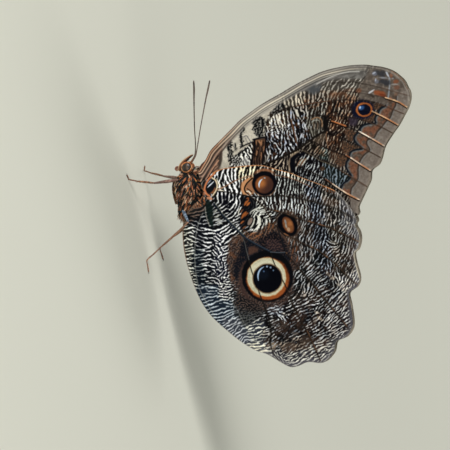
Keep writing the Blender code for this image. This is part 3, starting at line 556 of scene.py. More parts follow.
# The hindwing's markings, then those of its base and the veins and edges
# Brown fuzz and dark ground at the wing's base, with its wedge, curls and loop; the loop's dark inside is
# painted shade
HW_MARKS = """
mask brown noise(7,41)+.5*noise(2.2,43):.05:.6
mask outer 4 258,197 340,192 362,240 350,330 310,356 262,345 262,310 296,290 300,250
lay #38261c .6 outer brown under
lay #957b67 .25 outer noise(4,45):.1:.7 between
mask glint noise(1.9,46):.45:.8 between
lay #b9c2d2 .55 outer glint
# Pale flecks, and brown flush of the lower corner
disc #c9c3b8 323,198 1.6 3.24 .5 8 .6 .6 81 fleck
disc #c7c2c2 326,214.5 4 1.98 .5 35 .65 .6 81 fleck
disc #a9a8a8 322,220.5 3.2 2.34 .5 20 .6 .6 81 fleck
disc #8f9296 341,224 3.2 2.88 .5 0 .6 .6 81 fleck
disc #c9c8c4 337,221 2.6 .81 .5 -20 .7 .6 81 fleck
disc #d2d0c9 347,223 2 1.44 .5 0 .7 .6 81 fleck
disc #c6c4bf 346,227.5 2 1.8 .5 0 .6 .6 81 fleck
disc #d0c7ba 332,242.5 3.6 1.17 .5 15 .8 .6 81 fleck
disc #e2d3c2 332.5,278 2.4 1.62 .5 20 .9 .6 81 fleck
disc #c9bcae 327.5,274 2.6 1.17 .5 50 .7 .6 81 fleck
disc #d6cbbb 338,284.5 2.6 .99 .5 40 .75 .6 81 fleck
disc #ddd3c2 345,290.5 3.4 .99 .5 25 .8 .6 81 fleck
disc #d9d2c4 349,288.5 2.4 .9 .5 -50 .6 .6 81 fleck
disc #d8c9bc 304,294 1.2 3.6 .5 -25 .75 .6 81 fleck
disc #d0d3de 311,304.3 2.2 .81 .5 20 .8 .6 81 fleck
disc #c4c8cf 298,255 .9 3.6 .5 -12 .8 .6 81 fleck
disc #d8d2cf 301,247 1.6 2.7 .5 25 .75 .6 81 fleck
disc #d9dcd9 317.5,263.5 1.6 .9 .5 0 .8 .6 81 fleck
disc #e4d6c6 316.5,312 3.6 1.08 .5 20 .85 .6 81 fleck
disc #e9d9c4 319,317.5 2.6 1.17 .5 40 .9 .6 81 fleck
disc #a1978d 315,321 1.6 3.06 .5 25 .7 .6 81 fleck
disc #c3c8d2 284,319.5 2.4 .81 .5 35 .75 .6 81 fleck
disc #cfc4b8 283,313.5 3 .9 .5 25 .7 .6 81 fleck
disc #b5a9a2 280,303 1 4.5 .5 -12 .8 .6 81 fleck
disc #a8988b 294,333 3 1.17 .5 0 .6 .6 81 fleck
disc #a3968b 293,339 2 3.6 .5 10 .5 .6 81 fleck
disc #b9b2a4 303,354 3.6 1.44 .5 40 .6 .6 81 fleck
disc #a59e98 311,256 1.6 2.34 .5 10 .6 .6 81 fleck
disc #8f7c69 272.5,345.5 4.6 3.4 .45 10 .85 .35 83 flush
disc #3d2b23 285,330 7 8 .45 20 .45 .35 83 flush
disc #6f5848 290,347 9 4 .45 -10 .5 .35 83 flush
disc #4d4038 279,324 8 5 .45 20 .45 .35 83 flush
disc #54463c 306,341 7 6 .45 0 .45 .35 83 flush
disc #4a3428 298,318 7 9 .45 25 .45 .35 83 flush
disc #40332b 300,300 7 9 .45 10 .35 .35 83 flush
disc #523c2f 296,245 5 9 .45 -20 .5 .35 83 flush
disc #74492f 330,190.5 9 3 .45 25 .45 .35 83 flush
disc #5f4535 329,202 9 5 .45 10 .4 .35 83 flush
# Cell: black ground, orange clumps, pale swirl and grey lozenge
area #07080d 1.2 .85 1 241.5,196 252,196.5 256.5,203 256,209 250,213 248,219 247.5,226 242,232 239.4,226
 241,214 241.6,204
stroke #a55a2c 2.2 .7 .95 taper 244.3,205.6 246,202.6 248.3,200.4
stroke #b0622f 2 .7 .95 taper 246.5,205.8 248.6,203.4 249.8,202.4
stroke #8a4c2a 1.3 .7 .95 taper 246.2,199 248,198 248.4,201
stroke #a85c2b 2.3 .7 .95 taper 241.4,218.6 243.4,215 246.2,211.6
stroke #8f4f29 1.8 .7 .95 taper 244.6,216.4 246.6,213.6 248.4,213.2
stroke #a05a30 1.6 .7 .95 taper 240.6,223.8 242.2,222 244,221
stroke #7c4a2c 1.3 .7 .95 taper 242.6,228.6 244.6,227 246.6,226.4
stroke #6d4029 1.1 .7 .95 taper 240.4,213 241.8,210.4 243.2,209.4
stroke #e4e0d2 1.2 .7 .95 taper 240.2,208.2 238.4,212.4 238.6,216.2
stroke #dcdcd2 1.3 .7 .95 taper 249.2,213.2 252.6,210.6 257,208.6 262,207.2 264.4,205.8
stroke #d3d4cc 1.2 .7 .95 taper 253.6,214.6 256.8,212 261,210.4 266.4,208.8
stroke #cfd0ca 1.1 .7 .95 taper 258.4,214.6 262,212.8 267.8,211.6
stroke #07080c 1 .7 .95 taper 254.4,217.4 256.4,214.6 260,213
stroke #ecebdf 2.2 .7 .95 taper 256.2,215 258.6,217.2 259.8,220.4 259,224.6 256.6,228.4 253,231
stroke #07080c 1.3 .7 .95 taper 256.6,218.6 256.4,222.4 254,226.8 251,229.4
stroke #dedccf 1.4 .7 .95 taper 253.2,218.6 253.8,221.8 251.8,226 249.6,228.4
stroke #07080c 1.4 .7 .95 taper 262.4,214.6 263,219 262.4,224.4 259.6,229.8
stroke #a9aaa6 1.1 .7 .95 taper 265.2,216.6 265.4,221 264.4,226
disc #06070b 3 5.4 .15 28 .9 249.9,221.4
disc #84746a 1.9 4.3 .2 28 1 .05 249.9,221.5
# Brown field round the large eyespot, with its dark crescents
mask field 3 x+2.2*rough(5,111) y+2.2*rough(5,142) 229.5,241 233,236 240,233.5 247,236 256,234 262,229
 270,224 278,231 287,240 292,250 297,258 299,266 293,272 293,292 284,303 268,306 258,314 248,312 238,296
 233,283 229,272 228,258
mask inside field worn_out
mask inside inside field:0:.2
lay #372a25 inside
lay #131216 .75 inside grit:0:-.6
lay #62504a .5 inside grit:.3:.8
area #6b4028 4 .6 noise(4,118):-.3:.5 inside 226,234 246,234 240,262 240,292 228,286
area #8c6c56 3 .6 inside grit:.1:.7 noise(2.6,120):-.1:.4 226,234 248,234 246,256 238,284 226,286
area #080d16 1.8 .88 1.2 115 244,238 252,242 262,247 275,250 288,251 294,262 286,262 270,254 256,257 247,262
 240,272 237,282 233,276 234,264 239,252
area #3a2a27 1.3 .95 .6 117 243,262 249,259 246,268 243.5,281 246,292 251,301 247,301 240,288 238.5,274
area #0a0c13 1.4 .96 .8 119 259,238 263,233 270,230 277,232 283,238 287,247 286,252 272,252 262,247 257,242
area #31262a 1.2 .95 .6 121 265,240 272,239 279,241 283,247 282,251 275,250.5 267,248.5
mask patch 1.5 258,234 282,234 288,252 262,254
lay #0d0b0e .6 patch grit:.1:-.6
lay #5a4138 .5 patch grit:.2:.8
area #4a332a 1.2 .9 .6 123 248,247 254,246 259,249 257,252 251,254.5 248,255
mask upper 2 242,229 252,233 262,229 270,222 277,228 268,234 258,240 246,240
lay #2a2220 .6 upper
lay #96623f .75 upper grit:.2:.8
lay #b3aca4 .5 upper wave:.75:.95
stroke #9c6340 1.4 .8 .75 taper 248.6,236.6 252.4,233.4 256.6,232.6 | 253,239 257.4,236.2 262,233.4 |
 267.8,229.6 269,226 268.6,222.4 | 272.4,228.6 273,225 275,222
stroke #7a4a30 1.3 .8 .7 taper 290,262 291.2,258.6 291.6,255.4 | 291.5,254 292.7,250.6 293.1,247.4 |
 292.5,246 293.7,242.6 294.1,239.4 | 296,262 297.2,258.6 297.6,255.4 | 288,244 289.2,240.6 289.6,237.4 |
 295,252 296.2,248.6 296.6,245.4
lay #5b4236 .45 inside grit+.3*fine:.35:.8
mask slope 2.5 x+2*noise(4,91) 236,294 248,300 258,306 262,312 252,322 244,326 238,318 234,304
lay #0f1013 slope slope_tone
lay #67534a .8 slope grit:.1:.7 y:318:304
lay #62645f .7 slope grit:0:.7 y:306:318
# Large eyespot: black, orange, cream and the glossy pupil
spot ring +ragged 267.2,276.1
lay #07080c ring:26.3:24.9
spot ring +ragged 267.6,278.5
lay #401f12 ring+.5*fine:22.4:21.2
lay #orange ring+.5*fine:21.5:20.4
spot ring +ragged 266.4,276.9
lay #d3a46a .7 ring:20.1:19.2
lay #cream ring:19.6:18.7
lay #d2ceb6 .6 ring:17.4:15.8 below:.65:.15
stroke #17130f 1.1 .6 .9 @cu1 | @cu2
spot pupil +.6*ragged 267.4,278.4
lay #6b5138 .85 pupil:15.6:14.6
lay #03040a pupil:14.6:13.7
spot glow 263,274
lay #0c1420 .6 glow:8:3
stroke #a9c3e2 1.5 .9 .95 taper 258.4,280.4 257.8,276.4 258.6,272 260.8,268.6 263.8,266.6
disc #a6bcd6 .9 .9 .35 0 .85 266.8,266.4
disc #8ea6c4 .9 .9 .35 0 .85 270.4,267.4
disc #5f7694 .8 .8 .35 0 .85 273.2,270.2
disc #4a6488 .8 .8 .35 0 .85 263.6,271.2
# Round spot near the leading edge, and the tan patch before it
area #c98f62 .9 .95 .4 141 240.5,187 241.5,182.5 246,179 253,176.5 255,190 250,195.5 243,194.5 241,191
area #926649 1 .95 .3 143 245.5,186 249,182 252.5,180 254,186 254,194 250,195 246,191
stroke #0d0a0b 1.5 .7 252,178.4 249,181.2 246,184.6 244.4,188.6 245.4,192 248.4,194.4
stroke #e3dccb 1.1 246.8,191.4 248.6,191.6 250.6,193.8
stroke #0d0a0b .9 246.8,188.8 249,190 251.6,192
spot ring 264.2,183.5 +.25*noise(3,145)
lay #8d5b3d .9 ring:16:13.5 y:176:171
lay #a97a58 .6 ring:14:12.6 y:188:192
lay #05050b ring:12.9:11.7
spot disc 9.2 9 263.9,184.6 +.02*noise(2,147)
lay #3a2118 disc:1.06:.96
lay #round disc:.99:.88
stroke #c9dff2 1.5 .7 taper 259,187.6 258.8,184.2 260.2,181 262.2,179.2
disc #a8b4bc .9 .6 .35 0 .9 264.4,178.2
# Oval spot
disc #5b4233 12.2 14.6 .15 -22 .55 .08 287.2,225.2
disc #05060b 9.6 12.2 .07 -24 1 .03 287,224.8
spot disc 5.2 8.4 -26 287.8,224.8 +.04*noise(2,153)
lay #5a3422 disc:1.08:.96
lay #80502f disc:.98:.72
spot glow 289.6,223.6
lay #a86a3e .8 glow:3.4:1
disc #8b9399 .8 2.4 .4 -16 .85 .15 285,221.6
disc #a3a29b .8 2 .4 -16 .85 .15 285.8,226
disc #b6977a 1.4 2 .4 -16 .85 .15 288.2,229.4
# Brown fuzz and dark ground at the wing's base, with its wedge, curls and loop
area #1a1d1d 1.5 .95 .8 155 180,203 192,190 203,176 206,182 204,192 207,199 202,207 192,213 180,216
mask fuzz 2.5 180,206 200,203 206,208 200,216 190,223 180,224
lay #7d6455 .75 fuzz wave+.4*fine:0:.6
lay #20201f .6 fuzz wave:.1:-.5
mask hair 1.5 193,192 203,186 207,197 206,204 196,209 188,206
"""
HAIR_TINTS = ("b8744c", "8f5a3e", "d09a76", "a4603a")
# The dark inside of the loop at the wing's root is painted shade in its hollow
HW_BASE = """
area #101b19 1 .94 .6 161 205.4,201 209.6,201 213,207 213.2,215 213.4,223 212.4,228 209.6,225 207,215
spot glow 211.6,216 1.4 6 -10
lay #4a3a30 .35 glow:1:.5 between
stroke #bdbaab .8 .7 .7 205.4,207 205.6,212 207,219 209.6,226
stroke #d9dad0 1.2 .7 .9 taper 213.4,212.4 215.6,211.4 217,209 | 214,216.8 217.4,216.6 218.4,214.2 |
 214.4,220.6 218.2,220 221.8,220.6 | 216.6,224.4 219.6,222.8 222.4,224
area #0a0d11 .8 206.6,183 211.6,177 215.6,181 217,187 213.8,193.4 208.4,195 205.4,190
area #8a5433 .8 .9 209.4,194 213,190.6 215,187 216,189 213.6,193.4
stroke #dfe3ea 1.1 .6 .95 taper 207.6,187.6 210.6,184.6 213.8,181.6
stroke #a9aeb8 .8 .6 .9 taper 207.4,184.4 209.4,181.8 211.4,179.8
stroke #b9714a 1.8 .7 214.6,173.6 210.6,177 206.8,182.4 204.6,188.6 206.4,193.6 209.6,196
stroke #dac6a4 1.3 .7 212,178 215.4,180.4 217.2,185.8 216,190.6 212.6,195.6
stroke #ece4cf 1.3 .7 .9 taper 217,187 221,188.2 226,186.4 | 216.4,190 220,190.2 224,191 | 216.6,178.6
 218.4,183 221,187
disc #c98a66 3.2 1.4 .3 15 .9 209.6,198.4
# Veins
lay #14130f .35 veins_near:2.4:.8 outer
stroke #9c9a86 .8 .7 .6 214.9,203.1 220.9,210.6 223.3,214.1 243.3,234.1
stroke #121a24 2 .7 .97 @cu:1:7
stroke #3c4652 .6 .5 .7 222,214 242,234.2 252,241.6 269,250.6
stroke #454a50 1 .6 .9 270.5,251.9 278,252.4 285,252.2
stroke #14110f 1.2 .7 .9 @rs:0:6
stroke #2b201a .9 .7 .6 @rs:5:11
stroke #8a6248 1.1 .7 .85 @sc:0:4
stroke #7b4e35 .9 .7 .7 @sc:4:9
stroke #2b1f18 1 .7 .8 @m1
stroke #33251c 1.1 .7 .8 @m2
stroke #101218 1.3 .7 .8 @dc
stroke #221a16 1.3 .7 .9 @m3
stroke #241b16 1 .7 .8 @cu1:2:10
stroke #1a1614 1.1 .7 .9 @cu2:6:9
mask worn noise(4,171):-.1:.5
stroke #8f5f3d 1.1 .5 .8 worn @m2:4::0:-.5
stroke #8f5f3d 1.1 .5 .45 worn @m3:0::0:-.5
stroke #8f5f3d 1.1 .5 .55 worn @m1:3::0:-.5
stroke #8f5f3d 1.1 .5 .45 worn @cu1:3::0:-.5
stroke #8a8f94 .8 .6 .45 241.8,236.4 244.6,242.4 246.6,251 249,259.6
stroke #c9c9be .8 .7 .5 @3a
stroke #c2c0b4 .7 .7 .35 @1a:2:4
stroke #a3a49c .8 .7 .35 @1a:3:10
# Edges
mask far_side 4 334,186 380,186 380,380 262,380 262,345 330,340 348,300 352,250
lay #77757a .5 far_side edge_near:6:1 veiled
stroke #c98552 1.5 .7 .95 @edge:0:10
stroke #6b6460 1 .8 .4 334.4,192.6 342.4,200.6 349.4,209.6 354.4,218.6 355.4,222.6 353.9,226.6
stroke #a7a49c 1.3 .7 .85 @edge:9:15
stroke #c4bba6 1.7 .8 .85 @edge:14:21
stroke #46454c 4.2 1.2 .75 @edge:21:25
stroke #4f4d4e 2 1 .6 @edge:24:34
stroke #8f8b82 .9 .7 .7 @edge:24:36
stroke #8d857a 1.2 .8 .8 @edge:35:41
stroke #77604f 1.5 .8 .85 @edge:40:45
"""

# The forewing's markings
FW_GROUND = """
mask cell 3 264,116 302,110 312,124 310,138 298,148 266,162
lay #55341f .65 cell noise(2.4,225):.2:.6 under
lay #a9b6d6 .6 cell noise(2,226):.3:.7 between
mask beyond 3 304,92 356,92 356,120 348,130 346,156 336,164 312,152 326,130 322,112 302,108
mask brown noise(4.5,227)+.4*noise(1.8,228):-.1:.5
lay #563421 .45 beyond brown under
lay #9a6240 .5 beyond between noise(4,229):.1:.6
disc #5a3723 1.6 4.6 .3 10 .6 .15 231 329.5,109
disc #7a482b 4 3 .3 10 .3 .15 231 334,122
disc #5f3c28 10 2.4 .3 -10 .3 .15 231 335,96
disc #6b4632 8 2 .3 -20 .3 .15 231 345,92
disc #c6b593 2.4 2.4 .3 20 .3 .15 231 287,113.5
disc #dcd6c8 1.3 4.2 .3 -20 .85 .15 231 296.5,113.5
disc #d0d4da .9 4.6 .3 -18 .8 .15 231 304.5,127
disc #ece6d8 1.3 6.4 .3 -14 .85 .15 231 277.4,120
disc #c2cad8 .9 2.8 .3 22 .75 .15 231 301,136
disc #6d4b35 .8 14 .3 -14 .75 .15 231 293.6,132
disc #5e432f 2.4 2.2 .3 0 .6 .15 231 322,169
disc #0a0a0e 1.8 2.4 .3 0 .8 .15 231 298,131
mask dots 2 262,126 290,124 290,134 262,134
lay #0f0d0f .8 dots grit:-.1:-.5
lay #e6e3dc .6 dots grit:.3:.7
# Pale basal field, with its blotches and lines
mask base x+.8*warp 196,176 206,152 226,132 250,112 268,102 282,96 280,104 270,113 265,124 264,139 254,141
 244,148 230,159 228,170 206,178
lay #pale base
lay #a59d90 .55 base noise(3.5,239)+.4*grit:.1:.7
"""
BLOTCH = """
mask ragged .7 x+.9*grit y+.9*rough(2.2,243) {corners}
lay #{tint} .95 ragged
lay #08080a .9 ragged wave+.5*grit:.45:-.1
lay #a5a29b .7 ragged wave+.5*grit:.35:.8
"""
FW_BLOTCHES = """
262421 228,142 231,140.6 232.4,145 230.6,149 233.4,152 232.4,157 229.4,161 227.4,157 228.8,152 226.6,149
 227,145
35322e 234,143 236,143.6 236.6,149 234.6,152 233.6,148
23211f 243,127.4 245,129 243.4,133 241.8,135.6 243.4,141 242.6,148 240,148.6 240.4,143 238.8,137 240.4,131
2c2b29 251.4,122 256,118 261,116.4 264.4,119 266,126 263,130 263.6,136 258,137.6 254,134 254,130.4 251,130
 253.4,126
3b3a38 270.4,113 274,109 277,105 282,102.6 285.4,106 282,111 279,114 273,115
"""
FW_MARKS = """
stroke #2a2623 1 .7 .9 230,141 236,134.6 243,128.2
stroke #100e10 1.7 .7 .97 228.6,161.2 236,156.2 243,151 247.6,148.2
stroke #100e10 1.4 .7 .97 240.6,147.4 246,144.8 252.4,142.2
stroke #55545c .9 .6 .85 243,137.4 246.4,136 248.6,139 250.8,142.6
stroke #6d6a6c .7 .6 .8 245,138 247.6,143.4
disc #b9b8b4 3.4 4.6 .3 0 .6 .2 246,161.5
disc #1b191a 4.6 3 .3 -20 .75 .3 237.5,161.5
area #e9e6dd 1 .7 grit:.3:.7 232,157 242,152 244,166 232,167
area #3d2c24 .8 .95 .6 251 253.4,140 266,138 265.6,150 262.6,164 252,165 251.6,158
area #a17352 1 .9 .5 252 255,140.4 264,140.4 263.4,145 258,147 255.4,144
stroke #9a6d4f 1.7 .8 .85 taper 258,146 257,152 255.4,160 | 262.4,143 261.6,151 260.4,160 | 264,146
 263.6,152 262.6,157
mask column 1.2 252.6,142 267.6,140 267.6,150 264,164 252,165 251,158
lay #120c0b .85 column wave:.25:-.25
stroke #0a080b 2 .8 .95 254.4,140.6 254.6,148 252.4,156 251.6,165
stroke #0a080b 1.8 .8 .9 265.8,139 265.4,148 263.2,156 262.4,164
stroke #0a080b 1.8 .8 .95 253,140 260,138.2 264,137.6 266,138.8
stroke #d8d6cf 1.5 .8 .8 taper 269.6,150 268.4,156 266.4,162
# Brown root
mask root 1.2 x+.6*warp 196,176 201,164 208,153 217,144 222,148 222,158 219,170 206,178
lay #8c6d5b root
lay #4d392f .75 root wave:-.1:.5
disc #38302b 1.9 9.5 .45 8 .9 .2 220,160
stroke #3a2b26 1.4 .9 .85 204,180 209,170 214,161.6 222,151.4 229,142
stroke #5f4a40 2 1.2 .6 208,178 212,168 216,160
stroke #14100f 1.7 .8 .9 198.6,181 202.8,171.6 209.6,162 216,152.6 224,143.4
stroke #191614 1.9 .8 .9 203,180 207.4,172 212,164 217.6,156
stroke #2a211d 1.8 .8 .9 207.6,180 211.4,172.6 214.6,166
stroke #c58a68 1.3 .8 .9 196.4,178 200.6,170.4 205.6,161.6 210.6,153.6 217,145.4
stroke #c9a184 1.2 .8 .9 200.6,181.4 204.6,173.4 209.6,165.2 215,157.4 221,149
stroke #bb8c70 1.2 .8 .9 205.4,181 208.4,175.4 213,168 218.4,160.6
# Comma mark with its tan arcs
mask comb 1.5 282,153 300,148 296,158 292,176 282,176
lay #8f7a66 .75 arc0 comb
lay #221c1a .75 arc1 comb
lay #a08a72 .75 arc2 comb
lay #1b1716 .75 arc3 comb
area #04050c .8 .98 .5 257 304.4,152.6 304,155.6 298,157 295.4,160 294.6,166 295.4,172.6 290.6,173 289.4,165
 290.4,158.4 296,154
stroke #96745a 1.1 .7 .85 taper 296.4,167.4 298.6,162.6 301.8,158.4
stroke #c9c3b4 1.1 .7 .85 taper 298.3,167 300.5,162.2 303.7,158.4
stroke #9c6f50 1.1 .7 .85 taper 300.2,166.6 302.4,161.8 305.6,158.4
stroke #d2cdc0 1.1 .7 .85 taper 302.1,166.2 304.3,161.4 307.5,158.4
# Bar across the end of the cell and the loop beside it
area #5f5b50 1.5 .45 .8 258 306,122 312,118 320,117 323,121 322.6,130 314,136.6 309,134
area #15110f 1.5 .7 wave:.1:-.5 306,120 322,117 322,131 310,136
stroke #8c7460 .9 .7 .7 taper 312.6,122.4 313.4,126 313,130
stroke #1d1714 .9 .7 .7 taper 314.6,122.4 315.3,126 314.8,130
stroke #8c7460 .9 .7 .7 taper 316.6,122.4 317.2,126 316.6,130
stroke #1d1714 .9 .7 .7 taper 318.6,122.4 319.1,126 318.4,130
stroke #9d7656 1.2 .8 .75 310.8,120.2 315.4,118.2 319.6,119.2 321.6,123 321.4,127
stroke #a9a89e .9 .7 .7 311.4,122.6 314.4,120.8 318.2,121
area #0b0a0a .9 .97 .7 259 322.6,117 326.6,116.4 327,124 327.6,131.6 323.4,132.6 322.6,126
stroke #8c6248 .9 .7 .8 326.6,131.8 325.6,136 326.6,144 327.6,148.6
area #6f5d4b 1 .45 .6 263 312,141 318,136 325,133.4 325,140 320,144
"""

# Plain brown spots before the inner scallops
BROWN_SPOT = """
area #3f3128 1.2 .92 .5 265 {corners}
area #5d4434 1.4 .5 noise(2.6,266):0:.6 {corners}
area #80543a 1.8 .55 grit+.3*wave:.1:.8 {corners}
area #1b1411 1.8 .5 grit+.3*wave:-.2:-.9 {corners}
"""
FW_SPOTS = """
336.6,154.6 344,156.6 346.6,160 344,165 339,168 334.6,163
342,141.4 350,144.6 358.6,148.4 352,150.6 347,155.6 341.6,153
345,128.4 351,131 356,134 352.6,139 351,142 345.4,139.6
366,113 377,113 374,121.4 366,122.6 360,121 366,118
357,102 378,105.4 384,108 378,111.6 370,110 366,103.6
"""
FW_APEX = """
mask front 1.8 x+warp 284,94 300,84 320,74 345,62 386,62 380,80 356,80 336,80 322,84 312,92 300,92 286,100
mask front front x:376:356
lay #63605d .95 front
lay #3f3c39 .6 front streaks:.1:.7
disc #45474a 7.5 5.2 .4 -32 .95 .25 313.5,89.5
lay #8d8a86 .4 front noise(3,267):.1:.7
stroke #c3bfb8 .9 .7 .7 taper 361.5,87.5 362.7,85.5 363.7,84.1
stroke #26221f 1.1 .8 .8 taper 360.5,82.5 362.5,79.5 364.9,76.9
stroke #c3bfb8 .9 .7 .7 taper 364.7,87.3 365.9,85.3 366.9,83.9
stroke #26221f 1.1 .8 .8 taper 363.7,82.3 365.7,79.3 368.1,76.7
stroke #c3bfb8 .9 .7 .7 taper 367.9,87.1 369.1,85.1 370.1,83.7
stroke #26221f 1.1 .8 .8 taper 366.9,82.1 368.9,79.1 371.3,76.5
# Apex
mask apex 2 358,86 364,80 368,70 380,68 390,71 402,82 408,96 404,112 388,108 374,103 358,101
lay #544b44 .95 apex
lay #70675f .55 apex noise(2.6,275):0:.7
lay #4b423b .55 apex noise(3.5,273):0:.7
lay #8b7f75 .4 apex noise(1.9,274):.1:.8
stroke #8b939c 1.4 1 .75 387.6,79 388,86 387.4,93 386.6,99
disc #2b2d33 6 3.2 .5 10 .8096 .35 277 379,75
disc #26282e 5.2 3 .5 10 .8096 .35 277 383,83.4
disc #6d7282 2.2 1.9 .5 0 .704 .35 277 373,75.4
disc #b4b9c8 1.6 .7 .5 -30 .792 .35 277 372.4,74.4
disc #6b6f7c 1.9 2.1 .5 0 .704 .35 277 375,82.4
disc #aab0c0 .7 1.7 .5 10 .792 .35 277 374.2,81
disc #c4cad6 .9 2.8 .5 -28 .792 .35 277 385.8,76
disc #9298a4 6 .8 .5 5 .616 .35 277 381.5,79.2
disc #d0d3da 3.4 .9 .5 -32 .792 .35 277 369.8,92.8
disc #8a4526 5.4 2.6 .5 12 .792 .35 277 378.4,94.6
disc #5a2816 4 1.4 .5 15 .704 .35 277 381,96.6
disc #28211c 3 1 .5 15 .704 .35 277 371,97.4
disc #6d3f29 2.6 2.2 .5 0 .616 .35 277 357.5,91.5
disc #8d5238 1.6 2.4 .5 0 .616 .35 277 389.6,77
disc #85492e 2.6 2.2 .5 0 .66 .35 277 394,82.6
disc #744533 3 2 .5 0 .528 .35 277 394.8,88.6
disc #b3b2b8 1.2 1 .5 0 .528 .35 277 391,80
disc #a9a4a2 3 .8 .5 0 .528 .35 277 393.4,85.8
disc #85614d 1.8 2.6 .5 0 .528 .35 277 394,96.6
disc #7a4f3a 2 3 .5 15 .616 .35 277 392.6,106.4
stroke #9b6a4b 1.2 .8 .7 390,72.6 397,77.6 402,82.6 405,88.6 407,93.6
# Rim beyond the inner scallops, grey with brown middles, and the plain margin
mask rim .8 @inner 350,200 365,200 372,175 384,152 400,124 408,104 396,96 388,98
lay #4e4138 rim
lay #62676a .85 rim near_in+1.4*noise(2.4,279):3.6:1
lay #744936 .82 rim noise(3.4,281):-.5:.3 near_in:1.4:3.2 near_out:.4:2
lay #2a1f1a .3 rim fine+.3*grain:.1:.9
lay #8d8177 .25 rim fine+.3*grain:-.2:-.9
mask margin .8 @outer 349,212 360,214 376,175 392,146 412,112 412,92 402,90
lay #6c625b margin
lay #7b736b .6 margin noise(2.4,283):0:.7
lay #4a4039 .25 margin fine+.3*grain:.1:.9
lay #74797b .5 margin near_out:2.6:.8
lay #8f877f .3 margin fine+.3*grain:-.1:-.9
lay #8f8478 .55 margin edge_near:3:.5
stroke #2a1f1a 1.3 .8 .8 @outer
stroke #0e141b 1.9 .8 .96 @inner
disc #332b38 4.8 4.6 .35 30 .8 .2 352.5,122
disc #0b0f22 11.2 9.4 .2 -4 .95 .1 287 361.6,110.6
spot ring 8.2 7.2 -6 363,110.6 +.03*noise(2,289)
lay #8c4d27 ring:1.04:.95
lay #a9602f .7 ring:1:.9 x:365:357
lay #060a1a ring:.8:.72
disc #2f5488 2.8 2 .5 -25 .9 360.4,108.8
disc #b7cbe8 .9 1.3 .4 10 .95 358.9,108.4
# Veins
stroke #1d1613 1 .7 .75 @v3
stroke #1d1613 1.1 .7 .8 @v5
stroke #1d1613 1.1 .7 .85 @v7
stroke #1d1613 1.2 .7 .6 @v9
stroke #1d1613 .9 .7 .5 @v1 | @v2
stroke #1d1613 1.4 .7 .85 @v8
stroke #1d1613 1.3 .7 .7 @v10
stroke #1d1613 1.3 .7 .75 @v6
stroke #15110e 2.1 .8 .95 @cell:1:9
stroke #5d5343 1 .7 .7 301.4,150.4 306.4,152.4 312.4,156.4 320.4,161.4 326.4,163.4 334.4,167.4
stroke #6f4a36 .8 .6 .7 @v3:2:5
"""

# Pale ends of the veins: colour, share and part of a vein
VEIN_TIP = """
stroke #140d0b 1.4 .6 .9 @{part}:0:.9
stroke #{tint} 1.2 .5 {share} faded @{part}:0:-.3
stroke #9a5d38 1.2 .5 .7 far:.4:.7 far:1:.85 @{part}:0:-.3
"""
VEIN_TIPS = """
dcb48c .95 v2:3:
e0b48c .95 v4:2:
c0713e .9 v6:1:4
f8e6d2 1 v6:5:
9a5f3e .75 v8:5:
f6e0ca 1 v8:6:
a5694a .5 v10:3:
f4dcc2 1 v10:4:
"""
VEIN_ENDS = """
stroke #6b5245 .7 .6 .6 @v1:3:6
stroke #6b4b3a .7 .6 .6 @v3:7:10
stroke #57402f .7 .6 .6 @v5:4:7 | @v7:4:7
stroke #6b4b38 .7 .6 .6 @v9:6:9
"""
COSTA_LINES = (
    (8.6, 1.5, "8d8883", "4b3c35", 0.6), (7.1, 1.0, "45423f", "a58a78", 0.8),
    (6.0, 1.1, "b9b3a8", "6b5449", 0.8), (5.0, 1.0, "55514d", "17110f", 0.9),
    (3.9, 1.2, "e6dcc8", "cbab90", 0.97), (2.7, 1.1, "6d665f", "1c1512", 0.92),
    (1.6, 1.2, "a9a39a", "b88d70", 0.9), (0.3, 1.1, "6a635d", "3a241b", 0.95))
COSTA_GLEAM = """
stroke #c6c3be .9 .7 .75 316,85 330,78 345,73.6 358,72.8
stroke #4d4946 1 .8 .7 314,88 330,80.4 346,75.6 362,75
"""


def hindwing(p, q):
    """Colour of the hindwing's underside, display values from 0 to 1."""
    paint = wing_paint(p, q, {**HW_VEINS, "edge": HINDWING_EDGE}, HW_BARS, (265, 270, 60, 2.7, 60), 0.55,
                       (5, 25, 5, 6, 9, 8, 47))
    f, tints = paint.fields, paint.tints
    across = smooth_step(-7.5, 7.0, (p - 263.8) * 0.85 + (q - 184.2) * 0.5)
    shine = smooth_step(7.0, 0.5, np.hypot(p - 261.2, q - 183.4))[..., None]
    f.update(
        veins_near=vein_field(p, q, HW_VEINS),
        edge_near=along_line(p, q, HINDWING_EDGE + HINDWING_EDGE[:1])[0],
        worn_out=1.25 - 0.5 * smooth_step(0.0, 0.6, f["wave"]),
        slope_tone=0.97 - 0.3 * f["between"] * smooth_step(300, 312, q),
        ragged=0.3 * noise(p, q, 3.0, 131) + 0.15 * noise(p, q, 1.4, 132),
        below=smooth_step(-0.2, 0.8, ((p - EYESPOT[0]) * 0.2 + (q - EYESPOT[1])) / 22.0))
    tints["orange"] = blended("6e3819", "914c24", f["below"])
    tints["cream"] = rgb("bcb79c") * (1 + 0.07 * f["grain"] + 0.05 * f["blots"])[..., None]
    tints["round"] = blended("7d4829", "3d2620", across) * (1 - shine) + rgb("a46536") * shine
    paint.draw(HW_ZONES)
    uneven = 0.24 * noise(p, q, 4.5, 21) + 0.26 * f["fine"]
    paint.bars(0.41 + uneven * (1.0 - 0.65 * f["inner"]), 1.2)
    paint.draw(HW_MARKS)
    # Orange hairs at the wing's base
    draw = np.random.default_rng(163)
    for k in range(30):
        x, y, lean = draw.uniform(192, 206), draw.uniform(188, 207), draw.uniform(-0.3, 0.9)
        d, far = along_line(p, q, [(x, y), (x + 1.4 * np.sin(lean), y + 1.5),
                                   (x + 3.4 * np.sin(lean), y + 3.2)])
        width = 0.75 * np.sin(np.pi * np.clip(far, 0.05, 0.95))
        paint.cover(HAIR_TINTS[k % 4], 0.9 * f["hair"] * smooth_step(width + 0.3, width - 0.3, d))
    paint.draw(HW_BASE)
    return paint.colour


